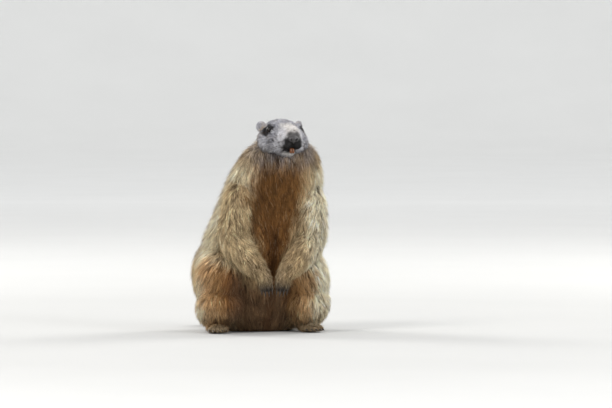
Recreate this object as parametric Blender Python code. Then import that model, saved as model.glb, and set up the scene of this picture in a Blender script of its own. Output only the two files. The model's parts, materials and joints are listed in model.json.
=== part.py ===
"""An alpine marmot, life size, sitting up on its hind feet with its forepaws hanging on its belly.

Metres, +Z up. The marmot faces -Y and its left side is +X. The floor is z = 0, and x = y = 0 is the
middle of the model's box. Each part of the body is a closed solid in its own object, and touching
parts keep a gap of GAP.
"""

import math
import random

import bmesh
import bpy
import numpy as np
from mathutils import Matrix, Vector
from mathutils.bvhtree import BVHTree

# Gap between touching parts
GAP = 0.0003
# Edges shorter than this are melted after a Boolean
SLIVER = 0.000004
FLOOR = Vector((0, 0, 0))
DOWN = Vector((0, 0, -1))

# Moves the whole model so that its box is centred on x = y = 0
BOX_SHIFT = Vector((0.0011, -0.0356, 0.0))

# Trunk, from the rump to the nape: centre x, y, z, half width, depth to the front, depth to the back
TRUNK = [
    (0.000, 0.040, -0.006, 0.078, 0.066, 0.056),
    (0.000, 0.032, 0.026, 0.088, 0.076, 0.068),
    (0.000, 0.018, 0.068, 0.096, 0.084, 0.082),
    (0.001, 0.008, 0.110, 0.102, 0.087, 0.090),
    (0.001, 0.000, 0.150, 0.105, 0.083, 0.088),
    (0.0095, -0.006, 0.190, 0.098, 0.077, 0.084),
    (0.017, -0.012, 0.228, 0.092, 0.071, 0.078),
    (0.0245, -0.018, 0.262, 0.087, 0.067, 0.070),
    (0.0285, -0.026, 0.290, 0.078, 0.059, 0.061),
    (0.031, -0.036, 0.314, 0.064, 0.049, 0.052),
    (0.030, -0.042, 0.338, 0.046, 0.038, 0.042),
]
NECK_BASE_Z = 0.272
NECK_TILT = 16.0

# Head: the point midway between the eyes, its turn to the left and how far the nose is raised, in degrees
HEAD_AT = Vector((0.030, -0.080, 0.3515))
HEAD_TURN = 6.0
HEAD_RAISE = -2.5

# Skull and muzzle, in the head's own frame: forward, half width, height above and depth below the eyes
SKULL = [
    (-0.056, 0.026, 0.004, 0.030),
    (-0.042, 0.034, 0.015, 0.038),
    (-0.024, 0.037, 0.0220, 0.042),
    (-0.006, 0.0345, 0.0230, 0.040),
    (0.008, 0.0290, 0.0200, 0.037),
    (0.020, 0.0240, 0.0130, 0.034),
    (0.032, 0.0202, 0.0070, 0.0315),
    (0.041, 0.0172, 0.0022, 0.0305),
    (0.050, 0.0125, -0.0030, 0.0280),
]
EYE_RADIUS = 0.0076
EYE_AT = Vector((0.0262, 0.003, 0.0))
NOSE_FORWARD = 0.0465
NOSE_HEIGHT = -0.0115
MOUTH_HEIGHT = -0.0305
MOUTH_CORNER_FORWARD = 0.014
EAR_AT = Vector((0.0340, 0.031, 0.0045))

# Arms: shoulder, elbow, wrist and the middle of the fingertips
ARMS = {
    "left": [(0.080, -0.036, 0.240), (0.080, -0.062, 0.152), (0.021, -0.106, 0.100), (0.017, -0.112, 0.069)],
    "right": [(-0.037, -0.040, 0.240), (-0.062, -0.066, 0.158), (-0.013, -0.106, 0.100), (-0.008, -0.112, 0.069)],
}
SHOULDER_RADIUS = 0.037
ELBOW_RADIUS = 0.030
WRIST_RADIUS = 0.0165

# Hind legs, on the left; the right one mirrors it
HIP = Vector((0.068, 0.034, 0.096))
KNEE = Vector((0.077, -0.048, 0.088))
HEEL = Vector((0.077, 0.000, 0.020))
FOOT_TURN = 8.0

# Tail: centre x, y, z, half width, half height
TAIL = [
    (0.000, 0.070, 0.052, 0.027, 0.026),
    (-0.001, 0.100, 0.034, 0.031, 0.028),
    (-0.008, 0.128, 0.019, 0.034, 0.029),
    (-0.022, 0.154, 0.016, 0.034, 0.027),
    (-0.040, 0.177, 0.014, 0.030, 0.024),
    (-0.056, 0.194, 0.012, 0.020, 0.018),
]

# Coat: how far the core lies inside the tips of the locks, a lock's length and width, and the room
# that each takes along the lie and across it
COATS = {
    "torso": (0.0105, 0.062, 0.041, 0.037, 0.0385),
    "neck": (0.0080, 0.050, 0.038, 0.034, 0.038),
    "thigh": (0.0105, 0.054, 0.037, 0.034, 0.036),
    "lower_leg": (0.0080, 0.036, 0.031, 0.029, 0.032),
    "upper_arm": (0.0075, 0.044, 0.029, 0.030, 0.030),
    "forearm": (0.0050, 0.036, 0.025, 0.030, 0.030),
    "tail": (0.0100, 0.052, 0.034, 0.036, 0.038),
}
# The trunk's coat thins out to nothing at this height, where the head's short coat begins
NAPE_Z = 0.322

# Rings of a lock: place along it, half width, thickness, height over the core, and share of the rise
LOCK_RINGS = (
    (-0.10, 0.34, 0.0032, -0.0048, 0.00),
    (0.30, 0.50, 0.0036, -0.0006, 0.12),
    (0.68, 0.36, 0.0026, 0.0000, 0.62),
)

COLOURS = {
    "tawny": ((0.55, 0.36, 0.20, 1.0), 0.9),
    "cream": ((0.72, 0.60, 0.42, 1.0), 0.9),
    "slate": ((0.36, 0.36, 0.38, 1.0), 0.9),
    "umber": ((0.20, 0.13, 0.09, 1.0), 0.9),
    "buff": ((0.55, 0.46, 0.33, 1.0), 0.8),
    "horn": ((0.06, 0.05, 0.045, 1.0), 0.4),
    "cornea": ((0.012, 0.009, 0.008, 1.0), 0.05),
    "rhinarium": ((0.05, 0.048, 0.05, 1.0), 0.45),
    "enamel": ((0.80, 0.42, 0.10, 1.0), 0.3),
}


def material(name):
    """The named material, made once."""
    found = bpy.data.materials.get(name)
    if found:
        return found
    colour, roughness = COLOURS[name]
    made = bpy.data.materials.new(name)
    made.use_nodes = True
    shader = made.node_tree.nodes["Principled BSDF"]
    shader.inputs["Base Color"].default_value = colour
    shader.inputs["Roughness"].default_value = roughness
    made.diffuse_color = colour
    return made


def through(stations, count, even=False):
    """count rows on a smooth curve through the stations, closer together near both ends unless even."""
    rows = np.array(stations, float)
    padded = np.vstack([2 * rows[0] - rows[1], rows, 2 * rows[-1] - rows[-2]])
    made = []
    for i in range(count):
        share = i / (count - 1)
        if not even:
            share = (1 - math.cos(math.pi * share)) / 2
        place = share * (len(rows) - 1)
        k = min(int(place), len(rows) - 2)
        t = place - k
        a, b, c, d = padded[k : k + 4]
        made.append(0.5 * (2 * b + (c - a) * t + (2 * a - 5 * b + 4 * c - d) * t**2 + (3 * b - a - 3 * c + d) * t**3))
    return np.array(made)


def rounded(lengths, cap_start, cap_end):
    """How much of its full size each ring keeps, so that both ends are domes as long as the caps."""
    total = lengths[-1]
    shares = []
    for s in lengths:
        share = 1.0
        for near, cap in ((s, cap_start), (total - s, cap_end)):
            if near < cap:
                share = min(share, math.sqrt(max(0.0, 1 - (1 - near / cap) ** 2)))
        shares.append(share)
    return shares


def mesh_object(name, bm, colour):
    """A new object from bm, in triangles and with its faces turned outwards."""
    bmesh.ops.triangulate(bm, faces=bm.faces)
    bmesh.ops.recalc_face_normals(bm, faces=bm.faces)
    mesh = bpy.data.meshes.new(name)
    bm.to_mesh(mesh)
    bm.free()
    mesh.materials.append(material(colour))
    mesh.shade_smooth()
    made = bpy.data.objects.new(name, mesh)
    bpy.context.scene.collection.objects.link(made)
    return made


def loft(name, stations, rings, sides, caps, colour, side_hint=(1, 0, 0), level=False, power=2.0, matrix=None):
    """A closed body of oval rings along a curve.

    A station is centre x, y, z, half width, then either one depth or a front and a back depth. The
    width runs along side_hint. A level body has its rings flat, and the others turn with the curve.
    """
    rows = through(stations, rings)
    centres = [Vector(row[:3]) for row in rows]
    lengths = [0.0]
    for a, b in zip(centres, centres[1:]):
        lengths.append(lengths[-1] + (b - a).length)
    shares = rounded(lengths, *caps)
    bm = bmesh.new()
    loops = []
    for i, row in enumerate(rows):
        along = (centres[min(i + 1, rings - 1)] - centres[max(i - 1, 0)]).normalized()
        if level:
            along = Vector((0, 0, 1))
        side = Vector(side_hint)
        side = (side - side.dot(along) * along).normalized()
        depth = along.cross(side)
        half = row[3] * shares[i]
        front = row[4] * shares[i]
        back = row[5] * shares[i] if len(row) > 5 else front
        if shares[i] < 1e-6:
            loops.append([bm.verts.new(centres[i])])
            continue
        loop = []
        for k in range(sides):
            angle = 2 * math.pi * k / sides
            c, s = math.cos(angle), math.sin(angle)
            wide = math.copysign(abs(c) ** (2 / power), c) * half
            deep = math.copysign(abs(s) ** (2 / power), s) * (back if s > 0 else front)
            loop.append(bm.verts.new(centres[i] + side * wide + depth * deep))
        loops.append(loop)
    for a, b in zip(loops, loops[1:]):
        for k in range(sides):
            quad = [a[k % len(a)], a[(k + 1) % len(a)], b[(k + 1) % len(b)], b[k % len(b)]]
            corners = list(dict.fromkeys(quad))
            bm.faces.new(corners)
    for loop in (loops[0], loops[-1]):
        if len(loop) > 1:
            bm.faces.new(loop)
    if matrix:
        bm.transform(matrix)
    return mesh_object(name, bm, colour)


def ball(name, centre, radii, colour, matrix=None, turn=None, detail=(16, 10)):
    """A closed ellipsoid, turned and then moved to its centre, in the frame of matrix."""
    bm = bmesh.new()
    bmesh.ops.create_uvsphere(bm, u_segments=detail[0], v_segments=detail[1], radius=1.0)
    shape = Matrix.Translation(Vector(centre)) @ (turn or Matrix.Identity(4)) @ Matrix.Diagonal((*radii, 1.0))
    bm.transform((matrix or Matrix.Identity(4)) @ shape)
    return mesh_object(name, bm, colour)


def apply_modifiers(obj):
    """Replaces the object's mesh with what its modifiers make of it."""
    graph = bpy.context.evaluated_depsgraph_get()
    graph.update()
    made = bpy.data.meshes.new_from_object(obj.evaluated_get(graph))
    obj.modifiers.clear()
    obj.data = made


def remove(*objects):
    for obj in objects:
        bpy.data.objects.remove(obj)


def keep_largest(obj):
    """Drops every closed surface of the object but its largest."""
    bm = bmesh.new()
    bm.from_mesh(obj.data)
    bm.faces.ensure_lookup_table()
    left, pieces = set(bm.faces), []
    while left:
        stack, piece = [left.pop()], []
        while stack:
            face = stack.pop()
            piece.append(face)
            for edge in face.edges:
                for other in edge.link_faces:
                    if other in left:
                        left.remove(other)
                        stack.append(other)
        pieces.append(piece)
    if len(pieces) > 1:
        pieces.sort(key=lambda piece: sum(face.calc_area() for face in piece))
        drop = [face for piece in pieces[:-1] for face in piece]
        bmesh.ops.delete(bm, geom=drop, context="FACES")
        loose = [vert for vert in bm.verts if not vert.link_faces]
        bmesh.ops.delete(bm, geom=loose, context="VERTS")
        bm.to_mesh(obj.data)
    bm.free()


def tidy(mesh):
    """Melts slivers that a Boolean leaves, and says whether the surface is closed and free of itself."""
    bm = bmesh.new()
    bm.from_mesh(mesh)
    bmesh.ops.triangulate(bm, faces=bm.faces)
    bmesh.ops.dissolve_degenerate(bm, edges=bm.edges, dist=SLIVER)
    bm.to_mesh(mesh)
    bmesh.ops.remove_doubles(bm, verts=bm.verts, dist=SLIVER / 4)
    sound = len(bm.faces) > 0 and all(edge.is_manifold for edge in bm.edges)
    bm.free()
    return sound


def volume(mesh):
    bm = bmesh.new()
    bm.from_mesh(mesh)
    size = bm.calc_volume()
    bm.free()
    return size


def boolean(obj, tool, operation):
    """Joins or cuts obj by one tool, or by a collection of them, keeps one body, and says if it is sound.

    A union that comes out smaller than the object was isn't sound.
    """
    before = obj.data
    for solver in ("EXACT", "MANIFOLD"):
        obj.data = before
        change = obj.modifiers.new(operation.lower(), "BOOLEAN")
        change.operation = operation
        change.solver = solver
        if isinstance(tool, bpy.types.Collection):
            change.operand_type = "COLLECTION"
            change.collection = tool
        else:
            change.object = tool
        apply_modifiers(obj)
        sound = tidy(obj.data)
        keep_largest(obj)
        if sound and (operation != "UNION" or volume(obj.data) > 0.99 * volume(before)):
            return True
    return False


def duplicate(obj, name):
    """A second object with its own copy of the mesh."""
    made = bpy.data.objects.new(name, obj.data.copy())
    bpy.context.scene.collection.objects.link(made)
    return made


def join_all(obj, pieces):
    """Fuses the pieces into obj with one union, removes them, and says whether the outcome is sound."""
    group = bpy.data.collections.new(obj.name + "_pieces")
    bpy.context.scene.collection.children.link(group)
    for piece in pieces:
        group.objects.link(piece)
    sound = boolean(obj, group, "UNION")
    remove(*pieces)
    bpy.data.collections.remove(group)
    return sound


def grown(obj, by):
    """A copy of the object with its surface moved out by a distance."""
    bm = bmesh.new()
    bm.from_mesh(obj.data)
    bm.normal_update()
    for vert, out in [(v, v.normal.copy()) for v in bm.verts]:
        vert.co += out * by
    return mesh_object(obj.name + "_grown", bm, "tawny")


def surface(obj):
    """A tree of the object's faces, for tests of where it meets another."""
    bm = bmesh.new()
    bm.from_mesh(obj.data)
    tree = BVHTree.FromBMesh(bm)
    bm.free()
    return tree


def carve(parts, order, hosts):
    """Cuts room in each host for the whole shape of each part before it in the order, with the gap.

    Where a cut leaves a fault, it is made again a little wider.
    """
    wholes = {name: duplicate(parts[name], name + "_whole") for name in order}
    for host in hosts:
        for name in order[: order.index(host)] if host in order else order:
            before = parts[host].data
            for wider in (1.0, 1.3, 1.6):
                parts[host].data = before
                tool = grown(wholes[name], wider * GAP)
                fits = not surface(parts[host]).overlap(surface(tool)) or boolean(parts[host], tool, "DIFFERENCE")
                remove(tool)
                if fits:
                    break
    remove(*wholes.values())


def cut_flat(obj, point, normal):
    """Cuts away what lies past a plane, on the side its normal points to, and closes the cut."""
    bm = bmesh.new()
    bm.from_mesh(obj.data)
    everything = bm.verts[:] + bm.edges[:] + bm.faces[:]
    cut = bmesh.ops.bisect_plane(bm, geom=everything, dist=1e-7, plane_co=point, plane_no=normal, clear_outer=True)
    edges = [e for e in cut["geom_cut"] if isinstance(e, bmesh.types.BMEdge)]
    bmesh.ops.contextual_create(bm, geom=edges)
    bmesh.ops.triangulate(bm, faces=[f for f in bm.faces if len(f.verts) > 4])
    bmesh.ops.recalc_face_normals(bm, faces=bm.faces)
    bm.to_mesh(obj.data)
    bm.free()


def smooth_whole(obj, voxel, passes, faces):
    """Melts overlapping bodies into one smooth skin of about this many faces."""
    melt = obj.modifiers.new("melt", "REMESH")
    melt.mode = "VOXEL"
    melt.voxel_size = voxel
    ease = obj.modifiers.new("ease", "SMOOTH")
    ease.factor = 0.5
    ease.iterations = passes
    apply_modifiers(obj)
    thin = obj.modifiers.new("thin", "DECIMATE")
    thin.ratio = faces / sum(len(p.vertices) - 2 for p in obj.data.polygons)
    obj.modifiers.new("split", "TRIANGULATE")
    apply_modifiers(obj)


def limb(name, stations, caps, colour, faces):
    """The core of a length of limb, with no folds where it bends, and the guide for its locks."""
    core = inset(stations, COATS[name.replace("_left", "").replace("_right", "")][0])
    made = loft(name, core, 16, 20, caps, colour)
    fine = duplicate(made, "guide")
    smooth_whole(made, 0.003, 5, faces)
    smooth_whole(fine, 0.003, 5, 4000)
    guide = surface(fine)
    remove(fine)
    return made, guide


def merge(name, pieces, colour):
    """One object that holds the pieces' meshes, still overlapping."""
    bm = bmesh.new()
    for piece in pieces:
        bm.from_mesh(piece.data)
    remove(*pieces)
    return mesh_object(name, bm, colour)


def inset(stations, depth):
    """The stations of a core that lies this far inside the tips of its coat."""
    return [(*row[:3], *(size - depth for size in row[3:])) for row in stations]


def lock(guide, root, lie, length, width, rise, bend, colour):
    """One flat, tapered lock, sunk in the core at its root and lying along it to the coat's outline."""
    normal = guide.find_nearest(root)[1]
    side = normal.cross(lie).normalized()

    def placed(share, across, height):
        flat = root + lie * (share * length) + side * (across * width + bend * max(share, 0.0) ** 2)
        on, out, _, _ = guide.find_nearest(flat)
        pull = on + out * height - flat
        most = 0.012 + 0.35 * abs(share) * length
        return bm.verts.new(flat + pull * min(1.0, most / max(pull.length, 1e-9)))

    bm = bmesh.new()
    rings = []
    for share, wide, thick, sunk, lifted in LOCK_RINGS:
        height = sunk + lifted * rise
        rings.append([placed(share, -wide, height), placed(share, 0, height + thick / 2),
                      placed(share, wide, height), placed(share, 0, height - thick / 2)])
    tip = placed(1.0, 0, rise)
    bm.faces.new(rings[0])
    for a, b in zip(rings, rings[1:]):
        for k in range(4):
            bm.faces.new((a[k], a[(k + 1) % 4], b[(k + 1) % 4], b[k]))
    for k in range(4):
        bm.faces.new((rings[-1][k], rings[-1][(k + 1) % 4], tip))
    return mesh_object("lock", bm, colour)


def spots(guide, axis, along_step, across_step, draw, lean):
    """Root places in staggered rings round an axis, each with the way its lock lies."""
    rows = [Vector(row[:3]) for row in through(axis, 80, even=True)]
    found, walked, due, turn = [], 0.0, 0.25 * along_step, 0.0
    for here, there in zip(rows, rows[1:]):
        walked += (there - here).length
        if walked < due:
            continue
        due += along_step
        turn += 0.5
        along = (there - here).normalized()
        side = along.orthogonal().normalized()
        ways = [side * math.cos(a) + along.cross(side) * math.sin(a) for a in np.linspace(0, 2 * math.pi, 25)[:-1]]
        hits = [hit for hit in (guide.ray_cast(here, way)[0] for way in ways) if hit]
        if len(hits) < 12:
            continue
        girth = sum((a - b).length for a, b in zip(hits, hits[1:] + hits[:1]))
        count = max(5, round(girth / across_step))
        for k in range(count):
            angle = 2 * math.pi * (k + turn + draw.uniform(-0.14, 0.14)) / count
            hit, normal, _, _ = guide.ray_cast(here, side * math.cos(angle) + along.cross(side) * math.sin(angle))
            if hit:
                lie = along + lean(hit, normal)
                found.append((hit, (lie - lie.dot(normal) * normal).normalized()))
    return found


class Room:
    """The space that a finished part takes."""

    def __init__(self, obj):
        self.tree = surface(obj)
        corners = np.array([vert.co for vert in obj.data.vertices])
        self.low, self.high = corners.min(axis=0), corners.max(axis=0)

    def holds(self, point):
        """Whether the point is inside, from how often a ray leaves the part."""
        way, hits = Vector((0.13, 0.21, 0.97)).normalized(), 0
        hit = self.tree.ray_cast(point, way)[0]
        while hit and hits < 60:
            hits += 1
            hit = self.tree.ray_cast(hit + way * 1e-6, way)[0]
        return hits % 2 == 1

    def is_clear_of(self, piece):
        points = [vert.co for vert in piece.data.vertices]
        corners = np.array(points)
        if (corners.min(axis=0) > self.high + GAP).any() or (corners.max(axis=0) < self.low - GAP).any():
            return True
        if any(self.tree.find_nearest(point)[3] < 1.5 * GAP or self.holds(point) for point in points):
            return False
        return not self.tree.overlap(surface(piece))


def coat(obj, guide, axis, rooms, draw, lean=lambda place, normal: Vector()):
    """Fuses locks all over the object, wherever they lie clear of the other parts and the floor.

    Where one union of them all leaves a fault, they are fused one by one, without those that cause it.
    """
    rise, length, width, along_step, across_step = COATS[obj.name.replace("_left", "").replace("_right", "")]
    colour = obj.data.materials[0].name
    bare, core = obj.data.copy(), surface(obj)
    pieces = []
    for root, lie in spots(guide, axis, along_step, across_step, draw, lean):
        if core.find_nearest(root)[3] > 0.003:
            continue
        bend = draw.uniform(-0.12, 0.12) * length
        for share in (draw.uniform(0.94, 1.06), 0.78, 0.6):
            piece = lock(guide, root, lie, length * share, width * draw.uniform(0.92, 1.06), rise, bend, colour)
            low = min(vert.co.z for vert in piece.data.vertices)
            if low > 2 * GAP and all(room.is_clear_of(piece) for room in rooms):
                pieces.append(piece)
                break
            remove(piece)
    if not join_all(obj, [duplicate(piece, "lock") for piece in pieces]):
        obj.data = bare
        for piece in pieces:
            before = obj.data.copy()
            if not boolean(obj, piece, "UNION"):
                obj.data = before
    remove(*pieces)


def head_matrix():
    turn = Matrix.Rotation(math.radians(HEAD_TURN), 4, "Z")
    raised = Matrix.Rotation(math.radians(-HEAD_RAISE), 4, "X")
    return Matrix.Translation(HEAD_AT) @ turn @ raised


def head_mass(frame):
    """Skull, muzzle, cheeks, brows, lips and chin as one smooth body."""
    rows = []
    for forward, half, above, below in SKULL:
        middle = -0.011
        rows.append((0, -forward, middle, half, above - middle, below + middle))
    masses = [loft("skull", rows, 22, 24, (0.012, 0.011), "slate", power=2.15, matrix=frame)]
    for s in (1, -1):
        masses += [
            ball("cheek", (s * 0.0275, 0.012, -0.0170), (0.0185, 0.030, 0.0235), "slate", frame),
            ball("jowl", (s * 0.0190, -0.006, -0.0250), (0.0150, 0.022, 0.0150), "slate", frame),
            ball("brow", (s * 0.0235, 0.001, 0.0090), (0.0088, 0.0125, 0.0050), "slate", frame),
            ball("pad", (s * 0.0088, -0.035, -0.0210), (0.0110, 0.0128, 0.0102), "slate", frame),
        ]
    chin = [
        (0, 0.004, -0.0335, 0.021, 0.0125),
        (0, -0.010, -0.0345, 0.0175, 0.0115),
        (0, -0.022, -0.0345, 0.0125, 0.0095),
        (0, -0.034, -0.0335, 0.0085, 0.0065),
    ]
    masses.append(loft("chin", chin, 12, 16, (0.008, 0.006), "slate", matrix=frame))
    whole = merge("head", masses, "slate")
    smooth_whole(whole, 0.0016, 7, 900)
    return whole


def lids(side, frame):
    """The raised rim of the eyelids, an oval ring set round the front of the eyeball."""
    outward = Vector((side * 0.93, -0.33, 0.10)).normalized()
    facing = outward.to_track_quat("Z", "Y").to_matrix().to_4x4()
    centre = Vector((side * EYE_AT.x, EYE_AT.y, EYE_AT.z)) + outward * 0.0042
    bm = bmesh.new()
    around, across = 12, 4
    loops = []
    for i in range(around):
        angle = 2 * math.pi * i / around
        c, s = math.cos(angle), math.sin(angle)
        upper = max(0.0, s)
        middle = Vector((c * 0.0068, s * 0.0058, -0.0008 * c * c))
        thick = 0.0016 + 0.0005 * upper
        out = Vector((c, s, 0)).normalized()
        loop = []
        for k in range(across):
            turn = 2 * math.pi * k / across
            loop.append(bm.verts.new(middle + out * math.cos(turn) * thick + Vector((0, 0, math.sin(turn) * thick))))
        loops.append(loop)
    for i in range(around):
        a, b = loops[i], loops[(i + 1) % around]
        for k in range(across):
            bm.faces.new((a[k], a[(k + 1) % across], b[(k + 1) % across], b[k]))
    bm.transform(frame @ Matrix.Translation(centre) @ facing)
    return mesh_object("lids", bm, "slate")


def make_nose(frame):
    """The bare nose pad, and the bodies that cut its nostrils and the groove between them."""
    at = Vector((0, -NOSE_FORWARD, NOSE_HEIGHT))
    pad = ball("nose", at, (0.0092, 0.0056, 0.0064), "rhinarium", frame, detail=(12, 8))
    holes = []
    for s in (1, -1):
        tilt = Matrix.Rotation(math.radians(s * 35), 4, "Y")
        holes.append(ball("nostril", at + Vector((s * 0.0048, -0.0052, -0.0010)), (0.0016, 0.0034, 0.0028), "horn",
                          frame, turn=tilt, detail=(7, 5)))
    holes.append(ball("groove", at + Vector((0, -0.0060, -0.0022)), (0.0006, 0.0012, 0.0052), "horn", frame,
                      detail=(5, 5)))
    return pad, holes


def make_ear(name, side, frame):
    """A small round ear, still without its cup, and the body that cuts the cup."""
    tilt = Matrix.Rotation(math.radians(side * 24), 4, "Y") @ Matrix.Rotation(math.radians(side * 38), 4, "Z")
    lean = Matrix.Rotation(math.radians(-14), 4, "X")
    at = Vector((side * EAR_AT.x, EAR_AT.y, EAR_AT.z))
    turn = tilt @ lean
    ear = ball(name, at, (0.0090, 0.0058, 0.0098), "slate", frame, turn=turn, detail=(12, 8))
    inner = turn @ Vector((0, -0.0060, 0.0010))
    cup = ball("cup", at + inner, (0.0064, 0.0062, 0.0072), "slate", frame, turn=turn, detail=(10, 7))
    return ear, cup


def make_incisor(name, side, frame):
    """One upper front tooth, coming down behind the lip's edge and in front of the lower lip."""
    rows = [
        (side * 0.0022, -0.0345, -0.0240, 0.0018, 0.0014),
        (side * 0.0022, -0.0385, -0.0290, 0.0019, 0.0014),
        (side * 0.0022, -0.0402, -0.0335, 0.0019, 0.0012),
        (side * 0.0021, -0.0400, -0.0372, 0.0018, 0.0007),
    ]
    return loft(name, rows, 7, 8, (0.0008, 0.0004), "enamel", power=3.0, matrix=frame)


def jaw_region(frame):
    """The space below the mouth line that the lower jaw fills, as a closed prism across the head."""
    outline = [
        (0.0600, MOUTH_HEIGHT + 0.0012),
        (0.0440, MOUTH_HEIGHT + 0.0002),
        (0.0300, MOUTH_HEIGHT - 0.0012),
        (0.0210, MOUTH_HEIGHT - 0.0010),
        (MOUTH_CORNER_FORWARD, MOUTH_HEIGHT + 0.0012),
        (0.0060, -0.0345),
        (-0.0020, -0.0420),
        (-0.0060, -0.0600),
        (0.0600, -0.0600),
    ]
    half = 0.0235
    bm = bmesh.new()
    sides = [[bm.verts.new((x, -forward, height)) for forward, height in outline] for x in (half, -half)]
    count = len(outline)
    for k in range(count):
        n = (k + 1) % count
        bm.faces.new((sides[0][k], sides[0][n], sides[1][n], sides[1][k]))
    bm.faces.new(sides[0])
    bm.faces.new(sides[1])
    bm.transform(frame)
    return mesh_object("jaw_region", bm, "slate")


def make_head():
    """Head, jaw, eyes, nose, ears and incisors, by name."""
    frame = head_matrix()
    head = head_mass(frame)
    jaw = duplicate(head, "lower_jaw")
    region = jaw_region(frame)
    boolean(jaw, region, "INTERSECT")
    wider = grown(region, 2 * GAP)
    boolean(head, wider, "DIFFERENCE")
    remove(region, wider)
    join_all(head, [lids(s, frame) for s in (1, -1)])
    lip = ball("lip_split", (0, -0.0470, -0.0240), (0.0007, 0.0060, 0.0080), "slate", frame, detail=(6, 8))
    boolean(head, lip, "DIFFERENCE")
    remove(lip)
    parts, cups = {"head": head, "lower_jaw": jaw}, {}
    for side, s in (("left", 1), ("right", -1)):
        at = (s * EYE_AT.x, EYE_AT.y, EYE_AT.z)
        parts[f"eye_{side}"] = ball(f"eye_{side}", at, (EYE_RADIUS,) * 3, "cornea", frame, detail=(12, 9))
        parts[f"ear_{side}"], cups[side] = make_ear(f"ear_{side}", s, frame)
        parts[f"incisor_{side}"] = make_incisor(f"incisor_{side}", s, frame)
    parts["nose"], holes = make_nose(frame)
    carve(parts, [n for n in parts if n not in ("head", "lower_jaw")], ["head", "lower_jaw"])
    for host, tool in [(f"ear_{side}", cup) for side, cup in cups.items()] + [("nose", hole) for hole in holes]:
        boolean(parts[host], tool, "DIFFERENCE")
        remove(tool)
    return parts


def make_trunk():
    """Torso and neck, one smooth body parted at the shoulders, and the guide for their locks."""
    tilt = math.radians(NECK_TILT)
    normal = Vector((0, math.sin(tilt), math.cos(tilt)))
    seam = Vector((0, -0.02, NECK_BASE_Z))
    core = []
    for row in TRUNK:
        core += inset([row], COATS["torso"][0] * min(1.0, max(0.0, (NAPE_Z - row[2]) / 0.040)))
    parts = {}
    for name, way in (("torso", 1), ("neck", -1)):
        body = loft(name, core, 19, 22, (0.020, 0.030), "cream", level=True, power=2.15)
        cut_flat(body, seam - way * normal * GAP / 2, way * normal)
        cut_flat(body, FLOOR, DOWN)
        parts[name] = body
    fine = loft("guide", core, 60, 72, (0.020, 0.030), "cream", level=True, power=2.15)
    guide = surface(fine)
    remove(fine)
    down = core[::-1]
    return parts, {"neck": (guide, down[:5]), "torso": (guide, down[3:])}


def make_arm(side):
    """Upper arm, forearm, hand and its four claws."""
    shoulder, elbow, wrist, tips = [Vector(p) for p in ARMS[side]]
    along = (tips - wrist).normalized()
    parts, coats = {}, {}
    lift = Vector((0, 0.006, 0.010))
    upper = [
        (*(shoulder + lift), SHOULDER_RADIUS * 0.94, SHOULDER_RADIUS),
        (*shoulder.lerp(elbow, 0.35), SHOULDER_RADIUS * 0.92, SHOULDER_RADIUS * 0.98),
        (*shoulder.lerp(elbow, 0.75), ELBOW_RADIUS * 1.08, ELBOW_RADIUS * 1.14),
        (*(elbow + Vector((0, 0.006, -0.016))), ELBOW_RADIUS * 0.98, ELBOW_RADIUS),
    ]
    name = f"upper_arm_{side}"
    parts[name], guide = limb(name, upper, (0.030, 0.022), "cream", 190)
    coats[name] = (guide, upper)
    back = (elbow - wrist).normalized()
    fore = [
        (*(elbow + back * 0.010), ELBOW_RADIUS * 0.92, ELBOW_RADIUS * 0.92),
        (*elbow.lerp(wrist, 0.35), ELBOW_RADIUS * 0.90, ELBOW_RADIUS * 0.90),
        (*elbow.lerp(wrist, 0.72), ELBOW_RADIUS * 0.76, ELBOW_RADIUS * 0.74),
        (*wrist, WRIST_RADIUS, WRIST_RADIUS * 0.9),
        (*(wrist + along * 0.010), WRIST_RADIUS * 0.86, WRIST_RADIUS * 0.72),
    ]
    name = f"forearm_{side}"
    parts[name], guide = limb(name, fore, (0.020, 0.008), "cream", 150)
    coats[name] = (guide, fore)
    palm = [
        (*(wrist - along * 0.002), 0.0105, 0.0080),
        (*(wrist + along * 0.008), 0.0115, 0.0082),
        (*(wrist + along * 0.018), 0.0112, 0.0072),
    ]
    hand = loft(f"hand_{side}", palm, 6, 10, (0.006, 0.005), "umber")
    across = Vector((1, 0, 0))
    toward_belly = Vector((0, 1, 0))
    digits = []
    for k, (place, length) in enumerate(((-0.0084, 0.0115), (-0.0029, 0.0138), (0.0029, 0.0138), (0.0084, 0.0110))):
        root = wrist + along * 0.013 + across * place
        tip = root + along * length + across * place * 0.10
        middle = root.lerp(tip, 0.55) - toward_belly * 0.0012
        digit = [(*root, 0.0033, 0.0034), (*middle, 0.0031, 0.0032), (*tip, 0.0026, 0.0027)]
        digits.append(loft("digit", digit, 5, 6, (0.002, 0.0022), "umber"))
        base = tip - along * 0.0030
        claw = [
            (*base, 0.0014, 0.0017),
            (*(base + along * 0.0050 - toward_belly * 0.0006), 0.0012, 0.0015),
            (*(base + along * 0.0096 + toward_belly * 0.0010), 0.0006, 0.0008),
            (*(base + along * 0.0120 + toward_belly * 0.0026), 0.0003, 0.0003),
        ]
        parts[f"claw_hand_{side}_{k + 1}"] = loft(f"claw_hand_{side}_{k + 1}", claw, 4, 5, (0.0008, 0.0003), "horn")
    join_all(hand, digits)
    parts[f"hand_{side}"] = hand
    return parts, coats


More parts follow.
